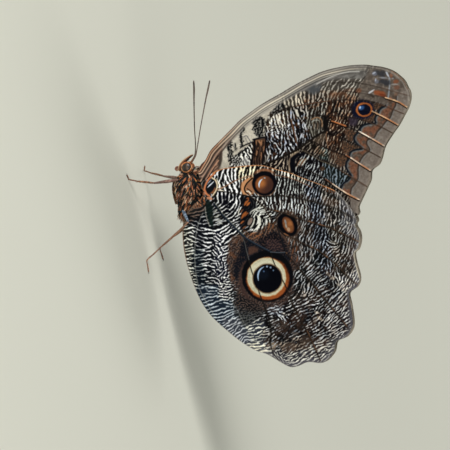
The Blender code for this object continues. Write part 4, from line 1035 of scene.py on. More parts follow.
def forewing(p, q):
    """Colour of the forewing's underside, display values from 0 to 1."""
    paint = wing_paint(p, q, {**FW_VEINS, **SCALLOPS}, FW_BARS, (330, 120, 40, 2.7, 60), 0.5,
                       (205, 215, 201, 203, 209, 208, 223))
    f = paint.fields
    costa_near = along_line(p, q, curve(COSTA))[0]
    comb = np.hypot(p - 299.5, (q - 164.5) / 1.15) + 0.5 * f["fine"]
    for k, (radius, width) in enumerate(((6.4, 1.3), (9.4, 1.2), (10.8, 1.3), (13.2, 1.2))):
        f[f"arc{k}"] = smooth_step(width, 0.3 * width, np.abs(comb - radius))
    f.update(
        warp=rough(p, q, 6.5, 203),
        near_in=along_line(p, q, SCALLOPS["inner"])[0], near_out=along_line(p, q, SCALLOPS["outer"])[0],
        edge_near=along_line(p, q, FOREWING_EDGE[25:40])[0],
        streaks=noise(0.6 * p + 0.8 * q, 3 * (q + 0.4 * p), 3.0, 268),
        faded=0.7 + 0.3 * smooth_step(-0.2, 0.4, noise(p, q, 3.0, 291)))
    paint.tints["pale"] = rgb("cfc7b7") * (1 - 0.05 * (1 + f["grain"][..., None]))
    paint.draw(FW_ZONES)
    paint.bars(0.34 - 0.22 * f["forward"] + 0.26 * noise(p, q, 4.5, 221) + 0.30 * f["fine"], 1.06)
    paint.draw(FW_GROUND)
    for tint, *corners in rows(FW_BLOTCHES):
        paint.draw(BLOTCH.format(tint=tint, corners=" ".join(corners)))
    paint.draw(FW_MARKS)
    for corners in rows(FW_SPOTS):
        paint.draw(BROWN_SPOT.format(corners=" ".join(corners)))
    paint.draw(FW_APEX)
    for tint, share, part in rows(VEIN_TIPS):
        paint.draw(VEIN_TIP.format(tint=tint, share=share, part=part))
    paint.draw(VEIN_ENDS)
    # Lines along the leading edge: how far in, how wide, colours outside and near the root, share
    strength, rooted = smooth_step(385, 325, p), smooth_step(250, 215, p)
    for far, width, tint, near_root, share in COSTA_LINES:
        shift = 0.35 * noise(p, q, 14.0, 291 + int(10 * far))
        near = np.exp(-((costa_near + shift - far) / (0.62 * width)) ** 2)
        fade = strength if far > 1.8 else np.maximum(strength, 0.5)
        paint.cover(blended(tint, near_root, rooted), share * near * fade)
    paint.draw(COSTA_GLEAM)
    return paint.colour


# Places
def to_frame(x, y, z):
    """Places on the insect, in metres of the frame."""
    return np.stack([(x - LENGTH_CENTRE) * MM, y * MM, (z + ROOT_HEIGHT) * MM], axis=-1)


def unit(vectors):
    return vectors / np.linalg.norm(vectors, axis=-1, keepdims=True)


def distances(route):
    """How far along a route each of its points is."""
    return np.concatenate([[0.0], np.cumsum(np.linalg.norm(np.diff(route, axis=0), axis=1))])


def resampled(rows, along, wanted):
    """Rows of numbers at the wanted distances."""
    return np.stack([np.interp(wanted, along, column) for column in rows.T], axis=1)


def to_chart(x, y, z):
    """Where a place on the left side shows on the chart."""
    up = z * math.cos(CAMERA_RISE) + y * math.sin(CAMERA_RISE)
    s, c = math.sin(CHART_TURN), math.cos(CHART_TURN)
    return (CHART_ROOT[0] + (x * s + up * c) / CHART_UNIT,
            CHART_ROOT[1] + (x * c - up * s) / CHART_UNIT)


def from_chart(p, q, y=-2.4):
    """The place back and up on the left wing, so far sideways, that shows at a chart point."""
    s, c = math.sin(CHART_TURN), math.cos(CHART_TURN)
    dp, dq = (p - CHART_ROOT[0]) * CHART_UNIT, (q - CHART_ROOT[1]) * CHART_UNIT
    up = c * dp - s * dq
    return s * dp + c * dq, (up - y * math.sin(CAMERA_RISE)) / math.cos(CAMERA_RISE)


# The wings' sideways shape, as in the solids
def stations(sections, steps):
    """Cross-sections with smooth ones between them."""
    ends = [sections[0]] + list(sections) + [sections[-1]]
    made = [v for i in range(len(sections) - 1) for v in bend(ends[i:i + 4], steps)]
    return np.array(made + [np.array(sections[-1], float)])


THORAX = stations(THORAX_SECTIONS, 2)
ABDOMEN = stations(ABDOMEN_SECTIONS, 1)


def section(part, x):
    """Middle height, half width and half height of a part of the body."""
    return (np.interp(x, part[:, 0], part[:, k]) for k in (1, 2, 3))


def half_width(part, x, z):
    """How far the body's side is from its middle plane at a place, 0 outside it."""
    middle, wide, high = section(part, x)
    width = wide * np.sqrt(np.maximum(0.0, 1.0 - ((z - middle) / high) ** 2))
    return np.where((x < part[0, 0]) | (x > part[-1, 0]), 0.0, width)


def flare(x, z):
    """Where the wings stand out further, from 0 to 1."""
    middle = np.interp(x, (3.0, 12.0), (-3.0, -7.1))
    return np.exp(-((z - middle) / np.interp(x, (4.0, 12.0), (5.5, 4.3))) ** 2)


def flare_needed(x):
    """How far the wings have to stand out at x to clear the thorax and the abdomen."""
    z = np.interp(x, (2.0, 5.0, 12.0), (-2.6, -4.2, -11.5)) + 0.2 * np.arange(60)
    side = np.maximum(half_width(THORAX, x, z), half_width(ABDOMEN, x, z))
    clear = side + GAP + 0.5 * MEMBRANE + VEIN_RISE - HALF_SPREAD
    return max(0.0, float(np.max(np.where(side > 0.0, clear / flare(x, z), 0.0))))


def softened(values, reach):
    """The greatest of the neighbours, then their mean, so that it is smooth and never less."""
    spans = [values[max(0, k - reach):k + reach + 1] for k in range(len(values))]
    highest = [max(s) for s in spans]
    return [np.mean(highest[max(0, k - reach):k + reach + 1]) for k in range(len(values))]


FLARE_X = np.arange(-10.0, 50.0)
FLARE = softened([flare_needed(x) for x in FLARE_X], 2)


def spread(x, z):
    """The middle of a forewing's membrane from the plane between the wings."""
    return HALF_SPREAD + SPLAY * np.hypot(x, z) + np.interp(x, FLARE_X, FLARE) * flare(x, z)


def over_forewing(x, z):
    """The middle of a hindwing's membrane, further out where a forewing is under it."""
    inner_edge = np.interp(z, (-2.0, 3.6, 11.0, 21.0, 30.5, 40.0, 50.0),
                           (2.6, 4.5, 8.0, 12.0, 16.5, 21.5, 28.0))
    ease = smooth_step(0.0, 7.0, x - inner_edge - 1.5)
    return spread(x, z) + (MEMBRANE + 2 * VEIN_RISE + GAP) * (1.0 - ease)


# Materials
def to_linear(colour):
    """Display values from 0 to 1 as the linear values that a shader takes."""
    colour = np.asarray(colour, float)
    return np.where(colour <= 0.04045, colour / 12.92, ((colour + 0.055) / 1.055) ** 2.4)


def tint(text):
    return tuple(to_linear(rgb(text))) + (1.0,)


def set_inputs(node, values):
    for key, value in values.items():
        node.inputs[key].default_value = value


def new_material(name, roughness, coat=0.0, specular=0.5):
    made = bpy.data.materials.new(name)
    made.use_nodes = True
    shader = made.node_tree.nodes["Principled BSDF"]
    set_inputs(shader, {"Roughness": roughness, "Specular IOR Level": specular, "Coat Weight": coat,
                        "Coat Roughness": 0.12})
    return made, made.node_tree, shader


def speckled(tree, colour, size, strength):
    """A colour made lighter and darker by fine noise of one size, in millimetres."""
    place = tree.nodes.new("ShaderNodeTexCoord")
    spots = tree.nodes.new("ShaderNodeTexNoise")
    set_inputs(spots, {"Scale": 1.0 / (size * MM), "Detail": 2.0})
    tree.links.new(place.outputs["Object"], spots.inputs["Vector"])
    span = tree.nodes.new("ShaderNodeMapRange")
    set_inputs(span, {"From Min": 0.25, "From Max": 0.75, "To Min": 1.0 - strength,
                      "To Max": 1.0 + strength})
    tree.links.new(spots.outputs["Fac"], span.inputs["Value"])
    scaled = tree.nodes.new("ShaderNodeVectorMath")
    scaled.operation = "SCALE"
    tree.links.new(colour, scaled.inputs[0])
    tree.links.new(span.outputs["Result"], scaled.inputs["Scale"])
    return scaled.outputs["Vector"], place


def bumped(tree, shader, place, size, height):
    """Relief from noise of one size, in millimetres, and so high."""
    grain = tree.nodes.new("ShaderNodeTexNoise")
    set_inputs(grain, {"Scale": 1.0 / (size * MM)})
    tree.links.new(place.outputs["Object"], grain.inputs["Vector"])
    bump = tree.nodes.new("ShaderNodeBump")
    set_inputs(bump, {"Strength": 1.0, "Distance": height * MM})
    tree.links.new(grain.outputs["Fac"], bump.inputs["Height"])
    tree.links.new(bump.outputs["Normal"], shader.inputs["Normal"])


def marked_material(name, roughness, grain=0.12, strength=0.12, height=0.02, **looks):
    """A finish that takes its colour from the markings painted on the mesh."""
    made, tree, shader = new_material(name, roughness, **looks)
    marks = tree.nodes.new("ShaderNodeAttribute")
    marks.attribute_name = "markings"
    colour, place = speckled(tree, marks.outputs["Color"], grain, strength)
    tree.links.new(colour, shader.inputs["Base Color"])
    bumped(tree, shader, place, grain, height)
    return made


# Meshes
def make_object(name, places, faces, colours=None, material=None, smooth=True):
    """A piece from arrays: places in metres, faces as rows of corners, colours as display values."""
    mesh = bpy.data.meshes.new(name)
    faces = np.asarray(faces, np.int32)
    sides = faces.shape[1]
    mesh.vertices.add(len(places))
    mesh.vertices.foreach_set("co", np.asarray(places, np.float32).ravel())
    mesh.loops.add(faces.size)
    mesh.loops.foreach_set("vertex_index", faces.ravel())
    mesh.polygons.add(len(faces))
    mesh.polygons.foreach_set("loop_start", np.arange(0, faces.size, sides, dtype=np.int32))
    mesh.update(calc_edges=True)
    mesh.validate()
    if colours is not None:
        marks = mesh.attributes.new("markings", "FLOAT_COLOR", "POINT")
        full = np.ones((len(places), 4))
        full[:, :3] = to_linear(np.clip(colours, 0.0, 1.0))
        marks.data.foreach_set("color", full.astype(np.float32).ravel())
    if smooth:
        mesh.shade_smooth()
    if material:
        mesh.materials.append(material)
    piece = bpy.data.objects.new(name, mesh)
    bpy.context.scene.collection.objects.link(piece)
    return piece


def add_piece(name, nodes, mesh, material, on_map=None):
    """A piece of the insect's one body and the CAD nodes it stands for.

    Its mesh is places in millimetres, faces and colours. A map has one place for each point.
    """
    places, faces, colours = mesh
    piece = make_object(name, to_frame(*places.T), faces, colours, material)
    if on_map is not None:
        layer = piece.data.uv_layers.new(name="OFBake")
        corners = np.zeros(len(piece.data.loops), np.int32)
        piece.data.loops.foreach_get("vertex_index", corners)
        layer.data.foreach_set("uv", np.asarray(on_map, np.float32)[corners].ravel())
    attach(piece, "root")
    if nodes:
        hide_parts(*nodes)


# Wings
def rounded_outline(corners, spacing):
    """A smooth closed outline through the corners, with points evenly far apart."""
    loop = stations([corners[-1]] + list(corners) + [corners[0], corners[1]], 6)[6:-6]
    closed = np.vstack([loop, loop[:1]])
    along = distances(closed)
    return resampled(closed, along, np.linspace(0.0, along[-1], int(along[-1] / spacing), endpoint=False))


def sheet_mesh(outline, spacing):
    """Points and triangles that fill an outline evenly."""
    low, high = outline.min(0), outline.max(0)
    x, z = np.meshgrid(np.arange(low[0], high[0], spacing),
                       np.arange(low[1], high[1], spacing * 0.866))
    x = x + 0.5 * spacing * (np.arange(len(x)) % 2)[:, None]
    x, z = x.ravel(), z.ravel()
    keep = within(x, z, outline)
    x, z = x[keep], z[keep]
    edge_gap = np.full(x.shape, 1e9)
    for px, pz in outline:
        near = (np.abs(x - px) < spacing) & (np.abs(z - pz) < spacing)
        edge_gap[near] = np.minimum(edge_gap[near], np.hypot(x[near] - px, z[near] - pz))
    keep = edge_gap > 0.6 * spacing
    corners = [Vector(p) for p in outline] + [Vector(p) for p in zip(x[keep], z[keep])]
    count = len(outline)
    edges = [(k, (k + 1) % count) for k in range(count)]
    flat, _, faces, *_ = delaunay_2d_cdt(corners, edges, [], 1, 1e-5)
    flat = np.array([(p.x, p.y) for p in flat])
    faces = np.array([f for f in faces if len(f) == 3], int)
    a, b, c = (flat[faces[:, k]] for k in range(3))
    turned = (b[:, 0] - a[:, 0]) * (c[:, 1] - a[:, 1]) < (b[:, 1] - a[:, 1]) * (c[:, 0] - a[:, 0])
    faces[turned] = faces[turned][:, ::-1]
    return flat, faces


def wing_arrays(chart_edge, side_of, veins, paint_outer):
    """Places, faces and colours of a left wing: a fine outer face, a plainer back and the rim."""
    corners = np.array([from_chart(p, q) for p, q in chart_edge])
    outline = rounded_outline(corners, 0.9 * WING_GRAIN)
    front, front_faces = sheet_mesh(outline, WING_GRAIN)
    back, back_faces = sheet_mesh(outline, BACK_GRAIN)
    x, z = front.T
    base_side = side_of(x, z)
    p, q = to_chart(x, -base_side - OUTER_FACE, z)
    near = vein_field(p, q, veins) * CHART_UNIT
    rim = along_line(p, q, chart_edge + chart_edge[:1])[0] * CHART_UNIT
    sink = PLEAT * smooth_step(0.3, 3.2, near) * smooth_step(0.0, 2.5, rim)
    ridge = RIDGE * np.exp(-(near / RIDGE_HALF_WIDTH) ** 2) * smooth_step(0.0, 1.6, rim)
    out = base_side + OUTER_FACE - sink + ridge - 0.12 * np.exp(-rim / 0.25)
    places = np.stack([x, -out, z], axis=1)
    bx, bz = back.T
    back_places = np.stack([bx, -side_of(bx, bz) - BACK_FACE, bz], axis=1)
    back_rim = along_line(bx, bz, list(outline[::8]) + [outline[0]])[0]
    colours = np.vstack([paint_outer(p, q), upper_side(bx, bz, back_rim)])
    first = len(places)
    # The rim: both meshes hold the outline's points first, in the same order
    count = len(outline)
    k = np.arange(count)
    j = (k + 1) % count
    faces = np.vstack([front_faces, back_faces[:, ::-1] + first, np.stack([j, k, k + first], 1),
                       np.stack([j, k + first, j + first], 1)])
    # Both sheets side by side on the map
    low, size = corners.min(axis=0), np.ptp(corners, axis=0)
    on_map = [0.02 + np.array(part) * (sheet - low) / size + (shift, 0.0)
              for sheet, part, shift in ((front, (0.66, 0.96), 0.0), (back, (0.26, 0.96), 0.7))]
    return (np.vstack([places, back_places]), faces, colours), np.vstack(on_map)


def add_wings(kind, arrays, material):
    (places, faces, colours), on_map = arrays
    for name_end, side, order in (("left", 1.0, 1), ("right", -1.0, -1)):
        mesh = places * (1.0, side, 1.0), faces[:, ::order], colours
        add_piece(f"{kind}_{name_end}_scales", [f"{kind}_{name_end}"], mesh, material,
                  on_map)


def layered(ground, *layers):
    """Colours from a ground and layers over it, each a colour and its share at each place."""
    paint = Paint(layers[0][1], layers[0][1])
    paint.cover(ground, np.ones(paint.p.shape))
    for laid in layers:
        paint.cover(*laid)
    return paint.colour


def upper_side(x, z, rim):
    """Colour of a wing's upper side: brown, blue towards the root, dark, and pale on the very edge."""
    far = np.hypot(x, z)
    streaks = noise(x * 3.0, z * 0.9, 3.0, 301)
    return layered(
        "3a2a20", ("6a4a30", smooth_step(26.0, 4.0, far) * 0.6),
        ("2e3a58", 0.65 * smooth_step(8.0, 18.0, far) * smooth_step(46.0, 26.0, far)),
        ("17120f", 0.75 * smooth_step(38.0, 56.0, far)),
        ("7a5f46", 0.35 * smooth_step(0.2, 0.9, streaks)),
        ("c9bda8", 0.9 * smooth_step(1.3, 0.5, rim)))


# Body: how far back, middle height, half width and half height of the skin under the coat
SKIN_SECTIONS = [
    (-9.0, -4.95, 0.3, 0.35), (-8.8, -4.9, 0.85, 0.95), (-8.4, -4.85, 1.2, 1.4),
    (-7.6, -4.8, 1.45, 1.75), (-6.8, -4.8, 1.55, 1.85), (-6.1, -4.8, 1.65, 1.95),
    (-5.6, -4.85, 1.9, 2.2), (-5.1, -4.9, 2.4, 2.8), (-4.5, -5.0, 3.0, 3.6),
    (-3.2, -5.05, 3.7, 4.4), (-1.0, -5.05, 4.15, 4.9), (1.5, -5.2, 4.2, 4.9), (4.0, -5.7, 3.9, 4.6),
    (6.5, -6.3, 3.3, 3.95), (8.2, -6.75, 2.4, 2.9), (9.0, -6.7, 2.25, 2.5), (10.2, -6.8, 2.5, 2.75),
    (12.5, -6.9, 2.75, 2.9), (15.5, -7.0, 2.8, 2.95), (18.8, -7.15, 2.75, 2.85),
    (22.0, -7.25, 2.5, 2.6), (25.1, -7.35, 2.2, 2.25), (28.0, -7.45, 1.75, 1.8),
    (30.5, -7.5, 1.25, 1.3), (32.0, -7.5, 0.8, 0.85), (32.8, -7.5, 0.35, 0.4)]
SKIN_RINGS = 260
SKIN_SIDES = 72
EYE_HALF = (1.66, 1.3, 1.74)
EYE_RINGS = 47
EYE_SIDES = 72
EYE_CENTRE = (-7.55, 1.95, -4.5)
RIM_LONG = 1.8              # half length and half height of the rim, which leans forward
RIM_HIGH = 1.48
PALP_ROUTE = [
    (-6.7, 0.95, -6.7), (-7.3, 1.1, -7.15), (-8.4, 1.15, -6.6), (-9.5, 1.1, -5.4),
    (-10.4, 1.0, -3.95), (-11.1, 0.85, -2.4)]
PALP_RADII = [0.36, 0.56, 0.64, 0.62, 0.48, 0.2]
TONGUE_CENTRE = (-7.7, 0.0, -8.15)
TONGUE_RADIUS = 0.88
FEELER_ROUTE = [
    (-8.7, 0.85, -3.2), (-9.8, 0.95, -2.0), (-10.9, 1.0, -1.1), (-12.6, 1.3, -0.4),
    (-15.6, 2.9, 0.5), (-19.3, 5.4, 1.5), (-24.3, 8.5, 3.0), (-29.4, 11.6, 4.6),
    (-32.6, 13.7, 5.7), (-35.3, 15.6, 6.5)]
FEELER_RADII = [0.34, 0.25, 0.22, 0.2, 0.19, 0.19, 0.2, 0.25, 0.33, 0.22]
FEELER_RING = 0.42        # length of one of the feeler's rings
NEAR_MID_LEG = [(-3.9, -2.0, 14.4), (-4.5, -8.5, 7.1), (-6.2, -13.2, 2.5), (-7.4, -15.2, 0.0),
                (-8.9, -17.2, 0.0)]
FAR_MID_LEG = [(-4.3, 2.0, 14.4), (-6.3, 8.0, 7.8), (-8.4, 12.8, 2.7), (-9.7, 15.0, 0.0),
               (-11.1, 17.2, 0.0)]
NEAR_HIND_LEG = [(5.9, -1.6, 13.4), (10.8, -9.4, 16.0), (17.0, -12.7, 5.9), (20.6, -14.0, 0.0),
                 (24.6, -15.4, 0.0)]
FAR_HIND_LEG = [(5.9, 1.6, 13.4), (10.3, 9.4, 16.0), (14.6, 12.2, 5.9), (17.6, 13.3, 0.0),
                (21.6, 14.8, 0.0)]
LEG_RADII = (0.42, 0.62, 0.36)    # thigh at the hip, at its middle and at the knee
SHIN_RADII = (0.3, 0.36, 0.3)
FOOT_RADIUS = 0.24
SHIN_THORNS = 34
FOOT_THORNS = 30
FORELEG_X = (-4.4, 3.6)
FORELEG_SIDE = 0.95
BACKWARDS = np.array([1.0, 0.0, 0.0])
UPWARDS = np.array([0.0, 0.0, 1.0])


class Skin:
    """The body's skin as a smooth tube of oval sections, and places on it."""

    def __init__(self, rows):
        self.rows = stations(rows, 6)
        self.length = self.rows[-1, 0] - self.rows[0, 0]

    def at(self, share, turn):
        """Places and outward directions so far along the body and so far round it."""
        x = self.rows[0, 0] + share * self.length
        middle, wide, high = section(self.rows, x)
        y, z = wide * np.cos(turn), middle + high * np.sin(turn)
        step = 0.05
        ahead, behind = (np.interp(x + s, self.rows[:, 0], self.rows[:, 2]) for s in (step, -step))
        slope = (ahead - behind) / (2 * step)
        out = np.stack([-slope * 0.8, np.cos(turn) / np.maximum(wide, 0.05) * 3,
                        np.sin(turn) / np.maximum(high, 0.05) * 3], axis=-1)
        return np.stack([x, y, z], axis=-1), unit(out)


SKIN = Skin(SKIN_SECTIONS)


def body_map(share, turn):
    """Places on the map of the body, one for each share and turn."""
    return np.stack([0.02 + 0.96 * turn / (2 * np.pi), 0.02 + 0.96 * share], 1)


def body_colour(x, y, z, seed):
    """Colour of the skin and its coat: green-black and orange-brown thorax, brown abdomen."""
    streak = noise(0.6 * x + 0.5 * z, z - 0.5 * x + y, 1.1, seed) + 0.6 * noise(x, z + y, 0.5, seed + 1)
    back = smooth_step(6.0, 10.0, x)
    face = smooth_step(-5.6, -6.6, x)
    return layered(
        "141d1e", ("8f5334", 0.85 * smooth_step(0.15, 0.5, streak)),
        ("c8936e", 0.7 * smooth_step(0.6, 0.95, streak)), ("6b4c38", 0.85 * back),
        ("a08468", 0.6 * back * smooth_step(0.0, 0.8, noise(x, z * 0.7, 1.2, seed + 2))),
        ("2b211c", 0.5 * back * smooth_step(-6.0, -3.5, z)), ("33251d", 0.8 * face),
        ("b97c55", 0.7 * face * smooth_step(0.1, 0.6, noise(x, z + y, 0.7, seed + 3))))


def tube_faces(count, sides):
    """Faces of a closed tube: rings of points from its start to its end, then the two tips."""
    index = np.arange(count * sides).reshape(count, sides)
    around = np.roll(index, -1, 1)
    quads = np.stack([index[:-1], around[:-1], around[1:], index[1:]], -1).reshape(-1, 4)
    tips = [np.full(sides, count * sides + k) for k in (0, 1)]
    return np.vstack([quads[:, (0, 1, 2)], quads[:, (0, 2, 3)], np.stack([around[0], index[0], tips[0]], 1),
                      np.stack([index[-1], around[-1], tips[1]], 1)])


def add_skin(material):
    shares = np.linspace(0.0, 1.0, SKIN_RINGS)
    turns = np.linspace(0.0, 2 * np.pi, SKIN_SIDES, endpoint=False)
    share, turn = (v.ravel() for v in np.meshgrid(shares, turns, indexing="ij"))
    places, out = SKIN.at(share, turn)
    x, y, z = places.T
    lumps = 0.10 * noise(x + y, z, 0.8, 401) + 0.05 * noise(x, z + y, 0.35, 402)
    joints = -0.12 * smooth_step(8.7, 9.5, x) * np.exp(-(((x - 9.6) % 2.9 - 1.45) / 0.16) ** 2)
    places = places + out * (lumps + joints)[:, None]
    ends = [places[:SKIN_SIDES].mean(0), places[-SKIN_SIDES:].mean(0)]
    places = np.vstack([places] + ends)
    mesh = places, tube_faces(SKIN_RINGS, SKIN_SIDES), body_colour(*places.T, 411)
    on_map = body_map(np.append(share, [0.0, 1.0]), np.append(turn, [0.0, 0.0]))
    add_piece("body_skin", ["thorax", "abdomen", "head"], mesh, material, on_map)


def blades(roots, out, lie, lengths, widths, lift, sag=0.25):
    """Tufts from their roots: three-sided tapering blades that bend over along the lie."""
    count = len(roots)
    across = unit(np.cross(lie, out))
    rings = []
    for share, wide in ((0.0, 0.7), (0.35, 1.0), (0.7, 0.65)):
        rise = lift * share - sag * share ** 2
        middle = roots + lengths[:, None] * (lie * share + out * rise[:, None])
        half = 0.5 * widths[:, None] * wide
        rings += [middle - across * half, middle + out * half * 0.9, middle + across * half]
    tip = roots + lengths[:, None] * (lie + out * (lift - sag)[:, None])
    places = np.stack(rings + [tip], axis=1).reshape(-1, 3)
    pattern = []
    for ring in (0, 3):
        for k in range(3):
            a, b = ring + k, ring + (k + 1) % 3
            pattern += [(a, b, b + 3), (a, b + 3, a + 3)]
    pattern += [(6, 7, 9), (7, 8, 9), (8, 6, 9), (2, 1, 0)]
    faces = (np.array(pattern)[None] + 10 * np.arange(count)[:, None, None]).reshape(-1, 3)
    return places, faces


def patch_map(on_map, count):
    """Places on the map for the ten points of each tuft, a small patch at its root's place."""
    offsets = np.array([(-1, -1), (0, -1), (1, -1), (-1, 0), (0, 0), (1, 0), (-0.6, 0.6), (0, 0.6),
                        (0.6, 0.6), (0, 1)]) * 0.0015
    return (on_map[:, None, :] + offsets[None]).reshape(count * 10, 2)


def add_tufts(name, roots, out, lie, lengths, widths, lift, colours, on_map, material,
              tip_tone=1.25, root_tone=0.55):
    places, faces = blades(roots, out, lie, lengths, widths, lift)
    # Each blade is painted darker at its root, as shade under the hair, and lighter at its tip and along its
    # top edge, as a highlight.
    tones = np.array([root_tone] * 3 + [0.95, 1.0, 0.95, 1.1, 1.15, 1.1, tip_tone])
    colours = (colours[:, None, :] * tones[None, :, None]).reshape(-1, 3)
    add_piece(name, [], (places, faces, colours), material,
              patch_map(on_map, len(roots)))


def add_body_coat(material):
    """Hair over the whole body, thick on the thorax and short on the abdomen and face."""
    draw = np.random.default_rng(7)
    count = 10000
    share, turn = draw.random(count), draw.random(count) * 2 * np.pi
    roots, out = SKIN.at(share, turn)
    x, y, z = roots.T
    thorax = smooth_step(-5.6, -4.6, x) * smooth_step(9.5, 7.5, x)
    wanted = np.where(thorax > 0.5, 1.0, np.where(x > 8.5, 0.45, 1.6))
    girth = np.interp(x, SKIN.rows[:, 0], SKIN.rows[:, 2]) / 4.2
    eye = sum(np.exp(-(((x - EYE_CENTRE[0]) / 1.5) ** 2 + ((y - s * EYE_CENTRE[1]) / 1.2) ** 2
                       + ((z - EYE_CENTRE[2]) / 1.5) ** 2) ** 2) for s in (-1, 1))
    keep = (draw.random(count) < wanted * (0.35 + 0.65 * girth)) & (eye < 0.5)
    roots, out, share, turn = roots[keep], out[keep], share[keep], turn[keep]
    x, y, z = roots.T
    count = len(roots)
    thorax = thorax[keep]
    swirl = draw.normal(0.0, 0.35, (count, 3))
    lie = BACKWARDS + swirl * (0.4 + 0.8 * thorax)[:, None]
    lie[:, 2] -= 0.25 * thorax
    lie = unit(lie - out * np.sum(lie * out, axis=1, keepdims=True))
    crown = smooth_step(-5.3, -6.0, x) * smooth_step(-8.9, -8.2, x) * smooth_step(-0.2, 0.6, out[:, 2])
    lengths = (0.55 + 0.75 * thorax + 0.75 * crown) * draw.uniform(0.7, 1.35, count)
    widths = (0.11 + 0.06 * thorax + 0.03 * crown) * draw.uniform(0.8, 1.3, count)
    lift = draw.uniform(0.15, 0.5, count) + 0.15 * thorax + 0.8 * crown
    colours = body_colour(x, y, z, 411) * draw.uniform(0.75, 1.2, (count, 1))
    add_tufts("body_coat", roots, out, lie, lengths, widths, lift, colours, body_map(share, turn),
              material)


CLUMPS = 520
COLLAR_CLUMPS = 70          # more of them between the head and the wings
CLUMP_HAIRS = 18
CLUMP_TINTS = ["c98460", "e3b292", "ad6a48", "c67646", "f0c9ae", "956250"]
# Green-black tints for locks painted as the shade in the gaps between the lit locks
GAP_SHADE_TINTS = ["0a161c", "132226", "081118", "1e3034"]


def add_clumps(material):
    """The thorax's long hair, in pointed locks of orange and tan over green-black; the green-black locks are
    painted shade between the lit ones.
    """
    draw = np.random.default_rng(9)
    count = CLUMPS
    start, end = SKIN.rows[0, 0], SKIN.length
    share = (draw.uniform(-5.9, 8.6, count) - start) / end
    turn = draw.random(count) * 2 * np.pi
    collar = np.arange(count + COLLAR_CLUMPS) >= count
    count += COLLAR_CLUMPS
    share = np.append(share, (draw.uniform(-6.4, -4.7, COLLAR_CLUMPS) - start) / end)
    turn = np.append(turn, 0.5 * np.pi + draw.uniform(-0.95, 0.95, COLLAR_CLUMPS))
    middle, out = SKIN.at(share, turn)
    x, y, z = middle.T
    flank = np.abs(out[:, 1])
    high = smooth_step(0.25, 0.75, out[:, 2])
    rear = smooth_step(3.0, 7.0, x)
    front = smooth_step(-4.2, -5.6, x)
    flow = np.stack([np.ones(count), 0.0 * x, -0.75 * flank * (1.0 - high)], 1)
    flow[:, 2] += 0.5 * noise(x, z + y, 2.4, 431) * (1.0 - high) + 0.75 * high * (1.0 - rear) - 0.15 * rear
    flow[:, 0] -= 1.3 * front
    flow += draw.normal(0.0, 0.16, (count, 3))
    tangent = flow - out * np.sum(flow * out, axis=1, keepdims=True)
    free = (np.maximum(high, 0.8 * rear) * 0.8)[:, None]
    flow = unit(tangent * (1.0 - free) + flow * free)
    long = draw.uniform(1.6, 2.8, count) * (1.0 - 0.42 * high) * (1.0 - 0.35 * front) * (1 + 0.2 * rear)
    raised = np.stack([draw.uniform(-0.55, 0.05, count), draw.normal(0.0, 0.15, count), np.ones(count)], 1)
    flow[collar] = unit(raised)[collar]
    long[collar] = draw.uniform(1.5, 2.5, COLLAR_CLUMPS)
    tip = middle + flow * long[:, None] + out * draw.uniform(0.15, 0.5, count)[:, None]
    # Lit locks take the orange tints; the rest take the green-black ones as painted shade.
    lit = draw.random(count) < np.where(collar, 0.4, 0.6)
    bright, shaded = (np.array([rgb(t) for t in tints])[draw.integers(0, len(tints), count)]
                    for tints in (CLUMP_TINTS, GAP_SHADE_TINTS))
    tints = np.where(lit[:, None], bright, shaded)
    tints = tints * (1.0 - 0.3 * rear[:, None] * (lit & (draw.random(count) < 0.5))[:, None])
    who = np.repeat(np.arange(count), CLUMP_HAIRS)
    hairs = len(who)
    own_share = share[who] + draw.normal(0.0, 0.14, hairs) / end
    own_turn = turn[who] + draw.normal(0.0, 0.13, hairs) / 4.2
    roots, own_out = SKIN.at(own_share, own_turn)
    reach = tip[who] + draw.normal(0.0, 0.09, (hairs, 3)) - roots
    reach *= draw.uniform(0.72, 1.12, (hairs, 1))
    lengths = np.linalg.norm(reach, axis=1)
    tones = tints[who] * draw.uniform(0.65, 1.25, (hairs, 1))
    on_map = body_map(own_share, own_turn % (2 * np.pi))
    # The locks are painted much darker at the root, as shade, and very light at the tip, as a highlight.
    add_tufts("thorax_locks", roots, own_out, reach / lengths[:, None], lengths,
              draw.uniform(0.12, 0.19, hairs), np.full(hairs, 0.25), tones, on_map, material,
              tip_tone=1.9, root_tone=0.2)


# Tubes for feelers, palps and legs
def tube(route, radii, sides=12):
    """Places and faces of a closed tube along a route."""
    route = np.asarray(route, float)
    along = unit(np.gradient(route, axis=0))
    u = np.cross(along[0], UPWARDS)
    if np.linalg.norm(u) < 0.1:
        u = np.cross(along[0], (0.0, 1.0, 0.0))
    rings = []
    turns = np.linspace(0, 2 * np.pi, sides, endpoint=False)
    for p, t, r in zip(route, along, radii):
        u = unit(u - t * np.dot(u, t))
        w = np.cross(t, u)
        rings.append(p + r * (np.cos(turns)[:, None] * u + np.sin(turns)[:, None] * w))
    return np.vstack(rings + [route[:1], route[-1:]]), tube_faces(len(route), sides)


def joined(parts):
    """Several meshes given as places, faces and colours, as one."""
    places, faces, colours, first = [], [], [], 0
    for p, f, c in parts:
        places.append(p)
        faces.append(f + first)
        colours.append(c)
        first += len(p)
    return np.vstack(places), np.vstack(faces), np.vstack(colours)


def spine(root, direction, length, width, colour):
    """A small thorn: a tapering three-sided blade."""
    direction = unit(direction)
    out = unit(np.cross(direction, (0.3, 0.9, 0.2)))
    p, f = blades(np.array([root]), np.array([out]), np.array([direction]), np.array([length]),
                  np.array([width]), np.array([0.0]), 0.0)
    return p, f, np.tile(colour, (len(p), 1))


def shell_colour(places, base, pale, seed, size=0.5):
    x, y, z = places.T
    return layered(
        base, (pale, 0.7 * smooth_step(-0.1, 0.7, noise(x + y, z - y, size, seed))),
        ("2a1a14", 0.5 * smooth_step(0.3, 0.9, noise(x - y, z, 0.8 * size, seed + 1))))


